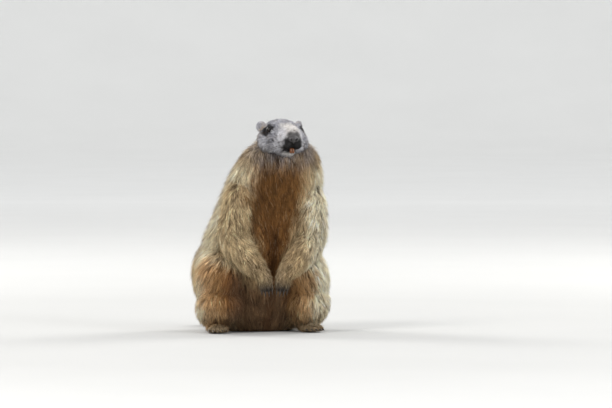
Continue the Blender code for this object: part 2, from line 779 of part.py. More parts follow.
def make_leg(side):
    """Thigh, lower leg, foot and its five claws."""
    s = 1 if side == "left" else -1
    hip, knee, heel = [Vector((s * p.x, p.y, p.z)) for p in (HIP, KNEE, HEEL)]
    parts, coats = {}, {}
    thigh = [
        (*(hip + Vector((0, 0.036, -0.026))), 0.038, 0.050),
        (*hip, 0.047, 0.066),
        (*hip.lerp(knee, 0.55), 0.046, 0.067),
        (*knee, 0.043, 0.058),
        (*(knee + Vector((0, -0.026, -0.010))), 0.034, 0.044),
    ]
    name = f"thigh_{side}"
    parts[name], guide = limb(name, thigh, (0.030, 0.026), "tawny", 260)
    coats[name] = (guide, [(s * 0.070, -0.002, 0.158), (s * 0.073, -0.005, 0.100), (s * 0.074, -0.008, 0.034)])
    shank = [
        (*(knee + Vector((0, -0.016, -0.020))), 0.036, 0.032),
        (*(knee + Vector((s * 0.002, 0.002, -0.038))), 0.041, 0.036),
        (*(heel + Vector((s * 0.002, -0.022, 0.015))), 0.040, 0.033),
        (*(heel + Vector((0, 0.006, 0.008))), 0.033, 0.027),
    ]
    name = f"lower_leg_{side}"
    parts[name], guide = limb(name, shank, (0.022, 0.022), "tawny", 160)
    coats[name] = (guide, [(s * 0.078, -0.038, 0.072), (s * 0.078, -0.036, 0.040), (s * 0.078, -0.034, 0.008)])
    ahead = Matrix.Rotation(math.radians(s * FOOT_TURN), 4, "Z") @ Vector((0, -1, 0))
    across = Matrix.Rotation(math.radians(s * FOOT_TURN), 4, "Z") @ Vector((1, 0, 0))
    start = Vector((heel.x, heel.y, 0))
    up = Vector((0, 0, 1))
    sole = [
        (*(start - ahead * 0.004 + up * 0.010), 0.0105, 0.0110),
        (*(start + ahead * 0.018 + up * 0.011), 0.0120, 0.0120),
        (*(start + ahead * 0.042 + up * 0.0095), 0.0145, 0.0110),
        (*(start + ahead * 0.060 + up * 0.0065), 0.0160, 0.0080),
    ]
    foot = loft(f"foot_{side}", sole, 8, 10, (0.010, 0.008), "buff", side_hint=across)
    toes = []
    spread = ((-0.0128, 0.0100), (-0.0066, 0.0165), (0.0000, 0.0185), (0.0066, 0.0165), (0.0126, 0.0110))
    for k, (place, reach) in enumerate(spread):
        root = start + ahead * 0.052 + across * place + up * 0.0048
        tip = root + ahead * reach + across * place * 0.18 - up * 0.0002
        middle = root.lerp(tip, 0.5) + up * 0.0014
        toe = [(*root, 0.0042, 0.0046), (*middle, 0.0040, 0.0044), (*tip, 0.0034, 0.0038)]
        toes.append(loft("toe", toe, 4, 6, (0.002, 0.0028), "buff", side_hint=across))
        base = tip - ahead * 0.0032 + up * 0.0008
        claw = [
            (*base, 0.0015, 0.0018),
            (*(base + ahead * 0.0052 + up * 0.0002), 0.0013, 0.0016),
            (*(base + ahead * 0.0094 - up * 0.0012), 0.0008, 0.0009),
            (*(base + ahead * 0.0118 - up * 0.0026), 0.0003, 0.0003),
        ]
        parts[f"claw_foot_{side}_{k + 1}"] = loft(
            f"claw_foot_{side}_{k + 1}", claw, 4, 5, (0.0008, 0.0003), "horn", side_hint=across)
    join_all(foot, toes)
    cut_flat(foot, FLOOR, DOWN)
    parts[f"foot_{side}"] = foot
    cut_flat(parts[f"lower_leg_{side}"], Vector((0, 0, 0.002)), DOWN)
    return parts, coats


def make_tail():
    """Tail, laid on the floor behind, and the guide for its locks."""
    tail, guide = limb("tail", TAIL, (0.020, 0.016), "umber", 260)
    cut_flat(tail, FLOOR, DOWN)
    return {"tail": tail}, {"tail": (guide, TAIL)}


def chest_lean(place, normal):
    """Turns the trunk's locks towards the middle of the chest in front."""
    middle = 0.012 + 0.10 * (place.z - 0.19)
    return Vector((-6.0 * max(0.0, -normal.y) * (place.x - middle), 0, 0))


def main():
    for old in list(bpy.data.objects):
        bpy.data.objects.remove(old)
    trunk, coats = make_trunk()
    face, limbs = make_head(), {}
    for made, guides in [make(side) for make in (make_arm, make_leg) for side in ("left", "right")] + [make_tail()]:
        limbs.update(made)
        coats.update(guides)
    parts = {**trunk, **limbs, **face}
    ranks = ("claw_", "hand_", "forearm_", "upper_arm_", "foot_", "lower_leg_", "thigh_", "tail", "lower_jaw", "head")
    order = ["torso", "neck"] + [name for rank in ranks for name in parts if name.startswith(rank)]
    carve(parts, order, order[2:])

    draw = random.Random(11)
    rooms = {name: Room(obj) for name, obj in parts.items()}
    for rank in ("forearm_", "lower_leg_", "thigh_", "upper_arm_", "tail", "neck", "torso"):
        for name in [name for name in coats if name.startswith(rank)]:
            guide, axis = coats[name]
            others = [room for other, room in rooms.items() if other != name]
            lean = {"lean": chest_lean} if name in trunk else {}
            coat(parts[name], guide, axis, others, draw, **lean)
            rooms[name] = Room(parts[name])
    for obj in parts.values():
        obj.data.transform(Matrix.Translation(BOX_SHIFT))
        obj.data.update()


main()
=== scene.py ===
"""The looks of the alpine marmot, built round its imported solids: skin, coat, face, claws and studio."""

import json
import math
import random

import bmesh
import bpy
import numpy as np
from mathutils import Matrix, Vector
from mathutils.bvhtree import BVHTree
from mathutils.kdtree import KDTree

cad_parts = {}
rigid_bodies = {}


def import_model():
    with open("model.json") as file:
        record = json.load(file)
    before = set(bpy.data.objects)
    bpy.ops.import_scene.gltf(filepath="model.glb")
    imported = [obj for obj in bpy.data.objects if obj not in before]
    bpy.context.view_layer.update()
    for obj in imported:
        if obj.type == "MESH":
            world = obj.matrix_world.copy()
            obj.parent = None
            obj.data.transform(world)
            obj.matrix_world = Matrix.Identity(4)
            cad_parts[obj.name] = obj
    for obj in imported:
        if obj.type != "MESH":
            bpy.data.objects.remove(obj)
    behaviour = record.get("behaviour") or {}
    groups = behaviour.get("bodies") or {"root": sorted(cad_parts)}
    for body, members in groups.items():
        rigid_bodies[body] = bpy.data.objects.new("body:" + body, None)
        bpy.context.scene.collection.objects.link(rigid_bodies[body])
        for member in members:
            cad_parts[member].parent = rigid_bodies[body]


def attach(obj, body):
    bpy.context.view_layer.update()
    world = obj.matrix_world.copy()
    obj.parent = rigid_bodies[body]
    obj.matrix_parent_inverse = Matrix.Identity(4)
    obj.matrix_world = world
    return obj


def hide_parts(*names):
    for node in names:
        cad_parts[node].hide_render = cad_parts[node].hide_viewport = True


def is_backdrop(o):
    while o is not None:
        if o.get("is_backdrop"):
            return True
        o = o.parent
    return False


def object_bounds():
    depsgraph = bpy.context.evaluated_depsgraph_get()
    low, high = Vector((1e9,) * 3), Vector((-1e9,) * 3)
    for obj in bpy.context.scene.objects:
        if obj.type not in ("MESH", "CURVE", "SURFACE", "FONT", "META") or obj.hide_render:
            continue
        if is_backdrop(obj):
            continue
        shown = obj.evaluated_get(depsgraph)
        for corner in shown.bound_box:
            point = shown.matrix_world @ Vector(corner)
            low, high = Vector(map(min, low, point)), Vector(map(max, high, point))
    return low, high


# Sizes and places that the solids were made from, in metres, before SHIFT. The animal's left is at +X,
# and it looks along -Y.
SHIFT = Vector((0.0011, -0.0356, 0.0))
SIDES = {"left": 1, "right": -1}
# Levels of the trunk: the middle, then half the width and how far it reaches in front and behind
TRUNK = [
    (0.000, 0.040, -0.006, 0.078, 0.066, 0.056),
    (0.000, 0.032, 0.026, 0.088, 0.076, 0.068),
    (0.000, 0.018, 0.068, 0.096, 0.084, 0.082),
    (0.001, 0.008, 0.110, 0.102, 0.087, 0.090),
    (0.001, 0.000, 0.150, 0.105, 0.083, 0.088),
    (0.0095, -0.006, 0.190, 0.098, 0.077, 0.084),
    (0.017, -0.012, 0.228, 0.092, 0.071, 0.078),
    (0.0245, -0.018, 0.262, 0.087, 0.067, 0.070),
    (0.0285, -0.026, 0.290, 0.078, 0.059, 0.061),
    (0.031, -0.036, 0.314, 0.064, 0.049, 0.052),
    (0.030, -0.042, 0.338, 0.046, 0.038, 0.042),
]
TRUNK_TOP = 0.345
# The head's own frame has its origin between the eyes, and its turn and raise are in degrees
HEAD_AT = Vector((0.030, -0.080, 0.3515))
HEAD_TURN = 6.0
HEAD_RAISE = -2.5
HEAD_FRAME = (Matrix.Translation(HEAD_AT) @ Matrix.Rotation(math.radians(HEAD_TURN), 4, "Z")
              @ Matrix.Rotation(math.radians(-HEAD_RAISE), 4, "X"))
HEAD_PLACE = Matrix.Translation(SHIFT) @ HEAD_FRAME
# Sections of the head: how far forward, half the width, and how far it reaches up and down
SKULL = [
    (-0.056, 0.026, 0.004, 0.030),
    (-0.042, 0.034, 0.015, 0.038),
    (-0.024, 0.037, 0.0220, 0.042),
    (-0.006, 0.0345, 0.0230, 0.040),
    (0.008, 0.0290, 0.0200, 0.037),
    (0.020, 0.0240, 0.0130, 0.034),
    (0.032, 0.0202, 0.0070, 0.0315),
    (0.041, 0.0172, 0.0022, 0.0305),
    (0.050, 0.0125, -0.0030, 0.0280),
]
EYE_RADIUS = 0.0076
EYE_AT = Vector((0.0262, 0.003, 0.0))
EYE_OUT = Vector((0.93, -0.33, 0.10))
NOSE_AT = (0, -0.0465, -0.0115)
MOUTH_HEIGHT = -0.0305
MOUTH_FRONT = 0.0560
MOUTH_BACK = 0.0215
EAR_AT = Vector((0.0340, 0.031, 0.0045))
# Shoulder, elbow, wrist and fingertips
ARMS = {
    "left": ((0.080, -0.036, 0.240), (0.080, -0.062, 0.152),
             (0.021, -0.106, 0.100), (0.017, -0.112, 0.069)),
    "right": ((-0.037, -0.040, 0.240), (-0.062, -0.066, 0.158),
              (-0.013, -0.106, 0.100), (-0.008, -0.112, 0.069)),
}
SHOULDER_RADIUS = 0.037
ELBOW_RADIUS = 0.030
WRIST_RADIUS = 0.0165
HIP = Vector((0.068, 0.034, 0.096))
KNEE = Vector((0.077, -0.048, 0.088))
HEEL = Vector((0.077, 0.000, 0.020))
FOOT_TURN = 8.0
# Middle line of the tail, with half its width and half its height
TAIL = [
    (0.000, 0.070, 0.052, 0.027, 0.026),
    (-0.001, 0.100, 0.034, 0.031, 0.028),
    (-0.008, 0.128, 0.019, 0.034, 0.029),
    (-0.022, 0.154, 0.016, 0.034, 0.027),
    (-0.040, 0.177, 0.014, 0.030, 0.024),
    (-0.056, 0.194, 0.012, 0.020, 0.018),
]

# Grain of the skin when its masses are melted together
HEAD_VOXEL = 0.0012
BODY_VOXEL = 0.0030
HAND_VOXEL = 0.0010
FOOT_VOXEL = 0.0011

# Gap between the strands and the frame's bounds
MARGIN = 0.0003

# How far the skin lies inside the coat's outline
DEPTH = {
    "trunk": 0.0105, "thigh": 0.0105, "shank": 0.0080, "upper_arm": 0.0085, "forearm": 0.0060, "tail": 0.0100,
}

# Coat by region: length of a strand, height of its tip over the skin, width, strands for each square
# millimetre, and how far strands gather into locks
COAT = {
    "back": (0.031, 0.0120, 0.00110, 0.36, 0.45),
    "flank": (0.030, 0.0120, 0.00110, 0.38, 0.45),
    "chest": (0.026, 0.0095, 0.00100, 0.44, 0.40),
    "thigh": (0.028, 0.0115, 0.00110, 0.36, 0.50),
    "shank": (0.020, 0.0080, 0.00100, 0.42, 0.40),
    "upper_arm": (0.022, 0.0098, 0.00100, 0.44, 0.45),
    "forearm": (0.016, 0.0064, 0.00085, 0.55, 0.40),
    "hand": (0.0055, 0.0012, 0.00060, 1.00, 0.25),
    "foot": (0.0060, 0.0013, 0.00065, 0.90, 0.25),
    "tail": (0.034, 0.0115, 0.00115, 0.36, 0.45),
    "neck": (0.022, 0.0095, 0.00100, 0.42, 0.40),
    "crown": (0.0080, 0.0034, 0.00062, 1.20, 0.25),
    "cheek": (0.0125, 0.0055, 0.00070, 0.95, 0.35),
    "muzzle": (0.0036, 0.0009, 0.00042, 2.20, 0.10),
    "ear": (0.0034, 0.0008, 0.00042, 1.80, 0.15),
}
REGIONS = list(COAT)
# Regions of short fine hair, regions with a piece on each side, what their pieces are called where that
# is a plural, and their slots where that isn't coat_cream
FINE = ("hand", "foot", "crown", "cheek", "muzzle", "ear")
PAIRED = ("back", "flank", "thigh", "shank", "upper_arm", "forearm")
PLURALS = {"hand": "hands", "foot": "feet", "cheek": "cheeks", "ear": "ears"}
SLOTS = {
    "thigh": "coat_tawny", "shank": "coat_tawny", "tail": "coat_umber", "hand": "coat_umber",
    "foot": "coat_buff", "crown": "coat_slate", "cheek": "coat_slate", "muzzle": "coat_slate",
    "ear": "coat_slate",
}

# How the coat of a limb leans away from straight along it, on the animal's left
LEAN = {
    "upper_arm": (-0.35, -0.1, -0.5), "forearm": (0, -0.1, -0.55), "thigh": (0.9, 0.15, -2.2),
    "shank": (0.1, -0.1, -1.6), "hand": (0, 0, 0), "foot": (0, 0, -0.1), "tail": (0, 0, -0.1),
}
ALONG_THIGH = 0.15

# Strands follow guides, which walk over the skin in a few steps. They start GUIDE_SPACING apart, or
# FINE_SPACING where the coat is fine. GUARD_SHARE of the other strands are the longer hairs on top.
STEPS = 5
GUIDE_SPACING = 0.0056
FINE_SPACING = 0.0032
GUARD_SHARE = 0.38
# How far one region of the coat runs over into the next
REGION_EDGE = 0.0022

# Colours of the coat, as linear values
INK = {name: np.array(value) for name, value in {
    "cream": (0.68, 0.53, 0.32),
    "pale": (0.90, 0.79, 0.58),
    "sand": (0.56, 0.40, 0.22),
    "straw": (0.56, 0.41, 0.23),
    "fawn": (0.62, 0.39, 0.20),
    "russet": (0.26, 0.122, 0.045),
    "tawny": (0.44, 0.25, 0.105),
    "umber": (0.085, 0.046, 0.024),
    "slate": (0.29, 0.29, 0.33),
    "frost": (0.56, 0.56, 0.60),
    "soot": (0.020, 0.019, 0.021),
    "smoke": (0.12, 0.115, 0.115),
    "dun": (0.21, 0.155, 0.100),
    "buff": (0.42, 0.32, 0.20),
}.items()}

# The camera's turn and raise in degrees, its distance, and the width and the middle of its view in metres
VIEW_TURN = -12.0
VIEW_RAISE = 2.0
VIEW_DISTANCE = 9.0
VIEW_WIDTH = 1.071
VIEW_CENTRE = (0.0904, 0.2205)
SENSOR = 36.0


def mirrored(point, s):
    """The point itself for s = 1, the animal's left, and its mirror image for s = -1."""
    return Vector((s * point[0], point[1], point[2]))


def turned(*turns):
    """Turns about the named axes, by angles in degrees, as one matrix. The last turn is made first."""
    made = Matrix.Identity(4)
    for axis, angle in turns:
        made = made @ Matrix.Rotation(math.radians(angle), 4, axis)
    return made


def unit(ways):
    """The ways, each made 1 long."""
    return ways / np.maximum(np.linalg.norm(ways, axis=1, keepdims=True), 1e-9)


def dot(first, second):
    return np.einsum("ij,ij->i", first, second)


def distance(places, point):
    return np.linalg.norm(places - np.array(point), axis=1)


def step(low, high, value):
    """0 below low, 1 above high, and smooth between."""
    t = np.clip((value - low) / (high - low), 0, 1)
    return t * t * (3 - 2 * t)


def through(stations, count, even=False):
    """count rows on a smooth curve through the stations, closer together near both ends unless even."""
    rows = np.array(stations, float)
    padded = np.vstack([2 * rows[0] - rows[1], rows, 2 * rows[-1] - rows[-2]])
    made = []
    for i in range(count):
        share = i / (count - 1)
        if not even:
            share = (1 - math.cos(math.pi * share)) / 2
        place = share * (len(rows) - 1)
        k = min(int(place), len(rows) - 2)
        t = place - k
        a, b, c, d = padded[k : k + 4]
        bend, twist = 2 * a - 5 * b + 4 * c - d, 3 * b - a - 3 * c + d
        made.append(0.5 * (2 * b + (c - a) * t + bend * t**2 + twist * t**3))
    return np.array(made)


def rounded(lengths, cap_start, cap_end):
    """How much of its full size each ring keeps, so that both ends are domes as long as the caps."""
    total = lengths[-1]
    shares = []
    for s in lengths:
        share = 1.0
        for near, cap in ((s, cap_start), (total - s, cap_end)):
            if near < cap:
                share = min(share, math.sqrt(max(0.0, 1 - (1 - near / cap) ** 2)))
        shares.append(share)
    return shares


def add_object(name, data):
    """A new object in the scene that holds the data."""
    made = bpy.data.objects.new(name, data)
    bpy.context.scene.collection.objects.link(made)
    return made


def mesh_object(name, bm):
    """A new object from bm, with its faces turned outwards."""
    bmesh.ops.recalc_face_normals(bm, faces=bm.faces)
    mesh = bpy.data.meshes.new(name)
    bm.to_mesh(mesh)
    bm.free()
    mesh.shade_smooth()
    return add_object(name, mesh)


def loft(name, stations, rings, sides, caps, side_hint=(1, 0, 0), level=False, power=2.0, matrix=None):
    """A closed body of oval rings along a curve, with domes at its ends.

    A station has a place, half the width, and how far the ring reaches in front and, where that differs,
    behind. Level rings lie flat, and a power over 2 makes them squarer.
    """
    rows = through(stations, rings)
    centres = [Vector(row[:3]) for row in rows]
    lengths = [0.0]
    for a, b in zip(centres, centres[1:]):
        lengths.append(lengths[-1] + (b - a).length)
    shares = rounded(lengths, *caps)
    bm = bmesh.new()
    loops = []
    for i, row in enumerate(rows):
        along = Vector((0, 0, 1))
        if not level:
            along = (centres[min(i + 1, rings - 1)] - centres[max(i - 1, 0)]).normalized()
        side = Vector(side_hint)
        side = (side - side.dot(along) * along).normalized()
        depth = along.cross(side)
        half, front = row[3] * shares[i], row[4] * shares[i]
        back = row[5] * shares[i] if len(row) > 5 else front
        if shares[i] < 1e-6:
            loops.append([bm.verts.new(centres[i])])
            continue
        loop = []
        for k in range(sides):
            angle = 2 * math.pi * k / sides
            c, s = math.cos(angle), math.sin(angle)
            wide = math.copysign(abs(c) ** (2 / power), c) * half
            deep = math.copysign(abs(s) ** (2 / power), s) * (back if s > 0 else front)
            loop.append(bm.verts.new(centres[i] + side * wide + depth * deep))
        loops.append(loop)
    for a, b in zip(loops, loops[1:]):
        for k in range(sides):
            quad = [a[k % len(a)], a[(k + 1) % len(a)], b[(k + 1) % len(b)], b[k % len(b)]]
            bm.faces.new(list(dict.fromkeys(quad)))
    for loop in (loops[0], loops[-1]):
        if len(loop) > 1:
            bm.faces.new(loop)
    if matrix:
        bm.transform(matrix)
    return mesh_object(name, bm)


def ball(name, centre, radii, matrix=None, turn=None, detail=(32, 20)):
    """A closed ellipsoid, turned and then moved to its centre, in the frame of matrix."""
    bm = bmesh.new()
    bmesh.ops.create_uvsphere(bm, u_segments=detail[0], v_segments=detail[1], radius=1.0)
    shape = Matrix.Translation(Vector(centre)) @ (turn or Matrix.Identity(4)) @ Matrix.Diagonal((*radii, 1.0))
    bm.transform((matrix or Matrix.Identity(4)) @ shape)
    return mesh_object(name, bm)


def ring(name, places, thickness, matrix, sides=10, closed=True):
    """A rope of round section through the places, as a closed body."""
    count = len(places)
    bm = bmesh.new()
    loops = []
    for i, here in enumerate(places):
        before = places[(i - 1) % count] if closed else places[max(i - 1, 0)]
        after = places[(i + 1) % count] if closed else places[min(i + 1, count - 1)]
        along = (after - before).normalized()
        side = along.cross(Vector((0.13, 0.21, 0.97))).normalized()
        depth = along.cross(side)
        radius = thickness[i] if isinstance(thickness, list) else thickness
        loops.append([bm.verts.new(here + (side * math.cos(a) + depth * math.sin(a)) * radius)
                      for a in np.linspace(0, 2 * math.pi, sides + 1)[:-1]])
    for i in range(count if closed else count - 1):
        a, b = loops[i], loops[(i + 1) % count]
        for k in range(sides):
            bm.faces.new((a[k], a[(k + 1) % sides], b[(k + 1) % sides], b[k]))
    if not closed:
        bm.faces.new(loops[0])
        bm.faces.new(loops[-1])
    bm.transform(matrix)
    return mesh_object(name, bm)


def apply_modifiers(obj):
    """Replaces the object's mesh with what its modifiers make of it."""
    graph = bpy.context.evaluated_depsgraph_get()
    graph.update()
    made = bpy.data.meshes.new_from_object(obj.evaluated_get(graph))
    obj.modifiers.clear()
    obj.data = made


def merge(name, pieces):
    """One object that holds the pieces' meshes, still overlapping."""
    bm = bmesh.new()
    for piece in pieces:
        bm.from_mesh(piece.data)
        bpy.data.objects.remove(piece)
    return mesh_object(name, bm)


def melt(obj, voxel, passes):
    """Melts overlapping bodies into one smooth skin."""
    change = obj.modifiers.new("melt", "REMESH")
    change.mode = "VOXEL"
    change.voxel_size = voxel
    ease = obj.modifiers.new("ease", "SMOOTH")
    ease.factor = 0.5
    ease.iterations = passes
    apply_modifiers(obj)


def combine(obj, tools, operation):
    """Joins or cuts obj by the tools, and removes them."""
    group = bpy.data.collections.new("tools")
    bpy.context.scene.collection.children.link(group)
    for tool in tools:
        group.objects.link(tool)
    change = obj.modifiers.new(operation.lower(), "BOOLEAN")
    change.operation, change.solver = operation, "MANIFOLD"
    change.operand_type, change.collection = "COLLECTION", group
    apply_modifiers(obj)
    for tool in tools:
        bpy.data.objects.remove(tool)
    bpy.data.collections.remove(group)


def read(items, key, kind=np.float32):
    """What Blender keeps as triples under this key, as the rows of an array."""
    values = np.empty(len(items) * 3, kind)
    items.foreach_get(key, values)
    return values.reshape(-1, 3)


def corners_of(mesh):
    """The places of the mesh's vertices."""
    return read(mesh.vertices, "co").astype(float)


def normals_of(mesh):
    return read(mesh.vertex_normals, "vector").astype(float)


def triangles_of(mesh):
    mesh.calc_loop_triangles()
    return read(mesh.loop_triangles, "vertices", np.int32)


def move_corners(mesh, places):
    mesh.vertices.foreach_set("co", places.astype(np.float32).ravel())
    mesh.update()


def inset(stations, depth):
    """The stations of a core that lies this far inside the tips of its coat."""
    return [(*row[:3], *(size - depth for size in row[3:])) for row in stations]


def head_masses():
    """Skull, cheeks, brows, lips and chin, still overlapping."""
    drop = 0.011
    rows = [(0, -forward, -drop, half, above + drop, below - drop) for forward, half, above, below in SKULL]
    masses = [loft("skull", rows, 60, 64, (0.012, 0.011), power=2.15, matrix=HEAD_FRAME)]
    for s in (1, -1):
        masses += [
            ball("cheek", (s * 0.0275, 0.012, -0.0170), (0.0185, 0.030, 0.0235), HEAD_FRAME),
            ball("jowl", (s * 0.0190, -0.006, -0.0250), (0.0150, 0.022, 0.0150), HEAD_FRAME),
            ball("brow", (s * 0.0235, 0.001, 0.0090), (0.0088, 0.0125, 0.0050), HEAD_FRAME),
            ball("pad", (s * 0.0088, -0.035, -0.0210), (0.0110, 0.0128, 0.0102), HEAD_FRAME),
        ]
    chin = [
        (0, 0.004, -0.0335, 0.021, 0.0125),
        (0, -0.010, -0.0345, 0.0175, 0.0115),
        (0, -0.022, -0.0345, 0.0125, 0.0095),
        (0, -0.034, -0.0335, 0.0085, 0.0065),
    ]
    return masses + [loft("chin", chin, 40, 40, (0.008, 0.006), matrix=HEAD_FRAME)]


def ear(s):
    """The masses of a small round ear on a thick base, and the body that hollows it."""
    turn = turned(("Y", s * 24), ("Z", s * 38), ("X", -14))
    at = mirrored(EAR_AT, s)
    shell = ball("ear", at - Vector((s * 0.0010, 0, 0)), (0.0092, 0.0048, 0.0094), HEAD_FRAME, turn=turn)
    base = ball("ear", at - Vector((s * 0.0070, -0.0010, 0.0040)), (0.0080, 0.0066, 0.0092), HEAD_FRAME)
    inner = at + turn @ Vector((0, -0.0058, 0.0012))
    cup = ball("cup", inner, (0.0062, 0.0060, 0.0070), HEAD_FRAME, turn=turn)
    return [shell, base], cup


def eye_frame(s):
    """The frame of an eye's opening: its middle, with Z out of the head and Y up."""
    turn = mirrored(EYE_OUT, s).normalized().to_track_quat("Z", "Y").to_matrix().to_4x4()
    return HEAD_FRAME @ Matrix.Translation(mirrored(EYE_AT, s)) @ turn


def lids(s):
    """The bare rim of the eyelids, thicker above, with a point at each corner of the eye."""
    places, thickness = [], []
    for angle in np.linspace(0, 2 * math.pi, 41)[:-1]:
        across, up = math.cos(angle), math.sin(angle)
        places.append(Vector((across * 0.0076, up * 0.0063, 0.0037 - 0.0012 * across * across)))
        thickness.append(0.00120 + 0.00045 * max(0.0, up))
    return ring("lids", places, thickness, eye_frame(s))


def mouth_line(forward, side):
    """Height of the line between the lips, which sinks towards the sides and the corners."""
    along = np.interp(forward, (MOUTH_BACK, 0.0270, 0.0340, 0.0440, MOUTH_FRONT),
                      (-0.0028, -0.0010, 0.0002, 0.0016, 0.0024))
    return MOUTH_HEIGHT + along - 7.0 * np.minimum(np.abs(side), 0.022) ** 2


def mouth_slot():
    """A thin curved plate that cuts the line of the mouth, from under the nose back to both corners."""
    rows, columns = np.linspace(MOUTH_FRONT, MOUTH_BACK, 16), np.linspace(-0.028, 0.028, 15)
    bm = bmesh.new()

    def sheet(way):
        return [[bm.verts.new((x, -f, mouth_line(f, x) + way * (0.00015 + 0.008 * (f - MOUTH_BACK))))
                 for x in columns] for f in rows]

    lower, upper = sheet(-1), sheet(1)
    last, end = len(rows) - 1, len(columns) - 1
    for i in range(last):
        for j in range(end):
            for face in (lower, upper):
                bm.faces.new((face[i][j], face[i + 1][j], face[i + 1][j + 1], face[i][j + 1]))
    rim = ([(i, 0) for i in range(last)] + [(last, j) for j in range(end)]
           + [(i, end) for i in range(last, 0, -1)] + [(0, j) for j in range(end, 0, -1)])
    for (a, b), (c, d) in zip(rim, rim[1:] + rim[:1]):
        bm.faces.new((lower[a][b], lower[c][d], upper[c][d], upper[a][b]))
    bm.transform(HEAD_FRAME)
    return mesh_object("mouth_slot", bm)


def in_head(places):
    """The places in the head's own frame."""
    back = np.array(HEAD_FRAME.inverted())
    return places @ back[:3, :3].T + back[:3, 3]


def round_eye(local, s):
    """How far places lie along and off the axis of an eye, and that axis, in the head's own frame."""
    out = np.array(mirrored(EYE_OUT, s).normalized())
    rest = local - np.array(mirrored(EYE_AT, s))
    along = rest @ out
    return along, np.linalg.norm(rest - along[:, None] * out, axis=1), out


def make_head_skin():
    """The head's skin, inside its coat, with ears, lids, eye sockets, mouth line and split lip."""
    head = merge("head_skin", head_masses())
    melt(head, HEAD_VOXEL, 8)
    places, normals = corners_of(head.data), normals_of(head.data)
    local = in_head(places)
    forward, up = -local[:, 1], local[:, 2]
    snout = step(0.014, 0.030, forward)
    depth = 0.0034 + 0.0022 * step(0.004, -0.012, up) * step(0.030, 0.005, forward)
    depth = depth * (1 - snout) + 0.0006 * snout
    for s in (1, -1):
        near = distance(local, (s * 0.031, 0.002, 0.0))
        depth = np.minimum(depth, 0.0008 + 0.0026 * step(0.009, 0.020, near))
    places -= normals * depth[:, None]
    for s in (1, -1):
        along, off, out = round_eye(in_head(places), s)
        high = along - 0.0028 - 0.75 * np.maximum(0, off - 0.0085)
        push = np.maximum(0, high) * step(0.028, 0.018, off)
        places -= push[:, None] * (np.array(HEAD_FRAME)[:3, :3] @ out)
    move_corners(head.data, places)
    shells, cups = zip(*(ear(s) for s in (1, -1)))
    head = merge("head_skin", [head, *shells[0], *shells[1]])
    melt(head, HEAD_VOXEL, 4)
    sockets = [ball("socket", mirrored(EYE_AT, s), (EYE_RADIUS + 0.0001,) * 3, HEAD_FRAME) for s in (1, -1)]
    split = ball("split", (0, -0.0478, -0.0240), (0.0006, 0.0060, 0.0078), HEAD_FRAME)
    combine(head, [lids(s) for s in (1, -1)], "UNION")
    combine(head, [*cups, *sockets, mouth_slot(), split], "DIFFERENCE")
    return head


def arm_cores(side):
    """Upper arm and forearm, as their stations."""
    shoulder, elbow, wrist, tips = [Vector(p) for p in ARMS[side]]
    along, back = (tips - wrist).normalized(), (elbow - wrist).normalized()
    upper = [
        (*(shoulder + Vector((0, 0.006, 0.010))), SHOULDER_RADIUS * 0.94, SHOULDER_RADIUS),
        (*shoulder.lerp(elbow, 0.35), SHOULDER_RADIUS * 0.92, SHOULDER_RADIUS * 0.98),
        (*shoulder.lerp(elbow, 0.75), ELBOW_RADIUS * 1.08, ELBOW_RADIUS * 1.14),
        (*(elbow + Vector((0, 0.006, -0.016))), ELBOW_RADIUS * 0.98, ELBOW_RADIUS),
    ]
    fore = [
        (*(elbow + back * 0.010), ELBOW_RADIUS * 0.92, ELBOW_RADIUS * 0.92),
        (*elbow.lerp(wrist, 0.35), ELBOW_RADIUS * 0.90, ELBOW_RADIUS * 0.90),
        (*elbow.lerp(wrist, 0.72), ELBOW_RADIUS * 0.76, ELBOW_RADIUS * 0.74),
        (*wrist, WRIST_RADIUS, WRIST_RADIUS * 0.9),
        (*(wrist + along * 0.010), WRIST_RADIUS * 0.86, WRIST_RADIUS * 0.72),
    ]
    return upper, fore


def leg_cores(s):
    """Thigh and lower leg, as their stations."""
    hip, knee, heel = [mirrored(p, s) for p in (HIP, KNEE, HEEL)]
    thigh = [
        (*(hip + Vector((0, 0.036, -0.026))), 0.038, 0.050),
        (*hip, 0.047, 0.066),
        (*hip.lerp(knee, 0.55), 0.046, 0.067),
        (*knee, 0.043, 0.058),
        (*(knee + Vector((0, -0.026, -0.010))), 0.034, 0.044),
    ]
    shank = [
        (*(knee + Vector((0, -0.016, -0.020))), 0.036, 0.032),
        (*(knee + Vector((s * 0.002, 0.002, -0.038))), 0.041, 0.036),
        (*(heel + Vector((s * 0.002, -0.022, 0.015))), 0.040, 0.033),
        (*(heel + Vector((0, 0.006, 0.008))), 0.033, 0.027),
    ]
    return thigh, shank


def digit(root, tip, along, out, across, form):
    """A finger or toe and its claw. Out is the way from the palm to the back of the hand."""
    places = [root, *(root.lerp(tip, share) + out * rise for share, rise in form["bends"]), tip]
    rows = [(*place, *size) for place, size in zip(places, form["sizes"])]
    flesh = loft("digit", rows, 20, 16, (0.002, form["cap"]), side_hint=across)
    base = tip - along * form["sunk"] + out * form["rise"]
    curve = [(*(base + along * ahead + out * rise), *size) for ahead, rise, *size in form["claw"]]
    return flesh, loft("claw", curve, 16, 12, (0.0008, 0.0005), side_hint=across)


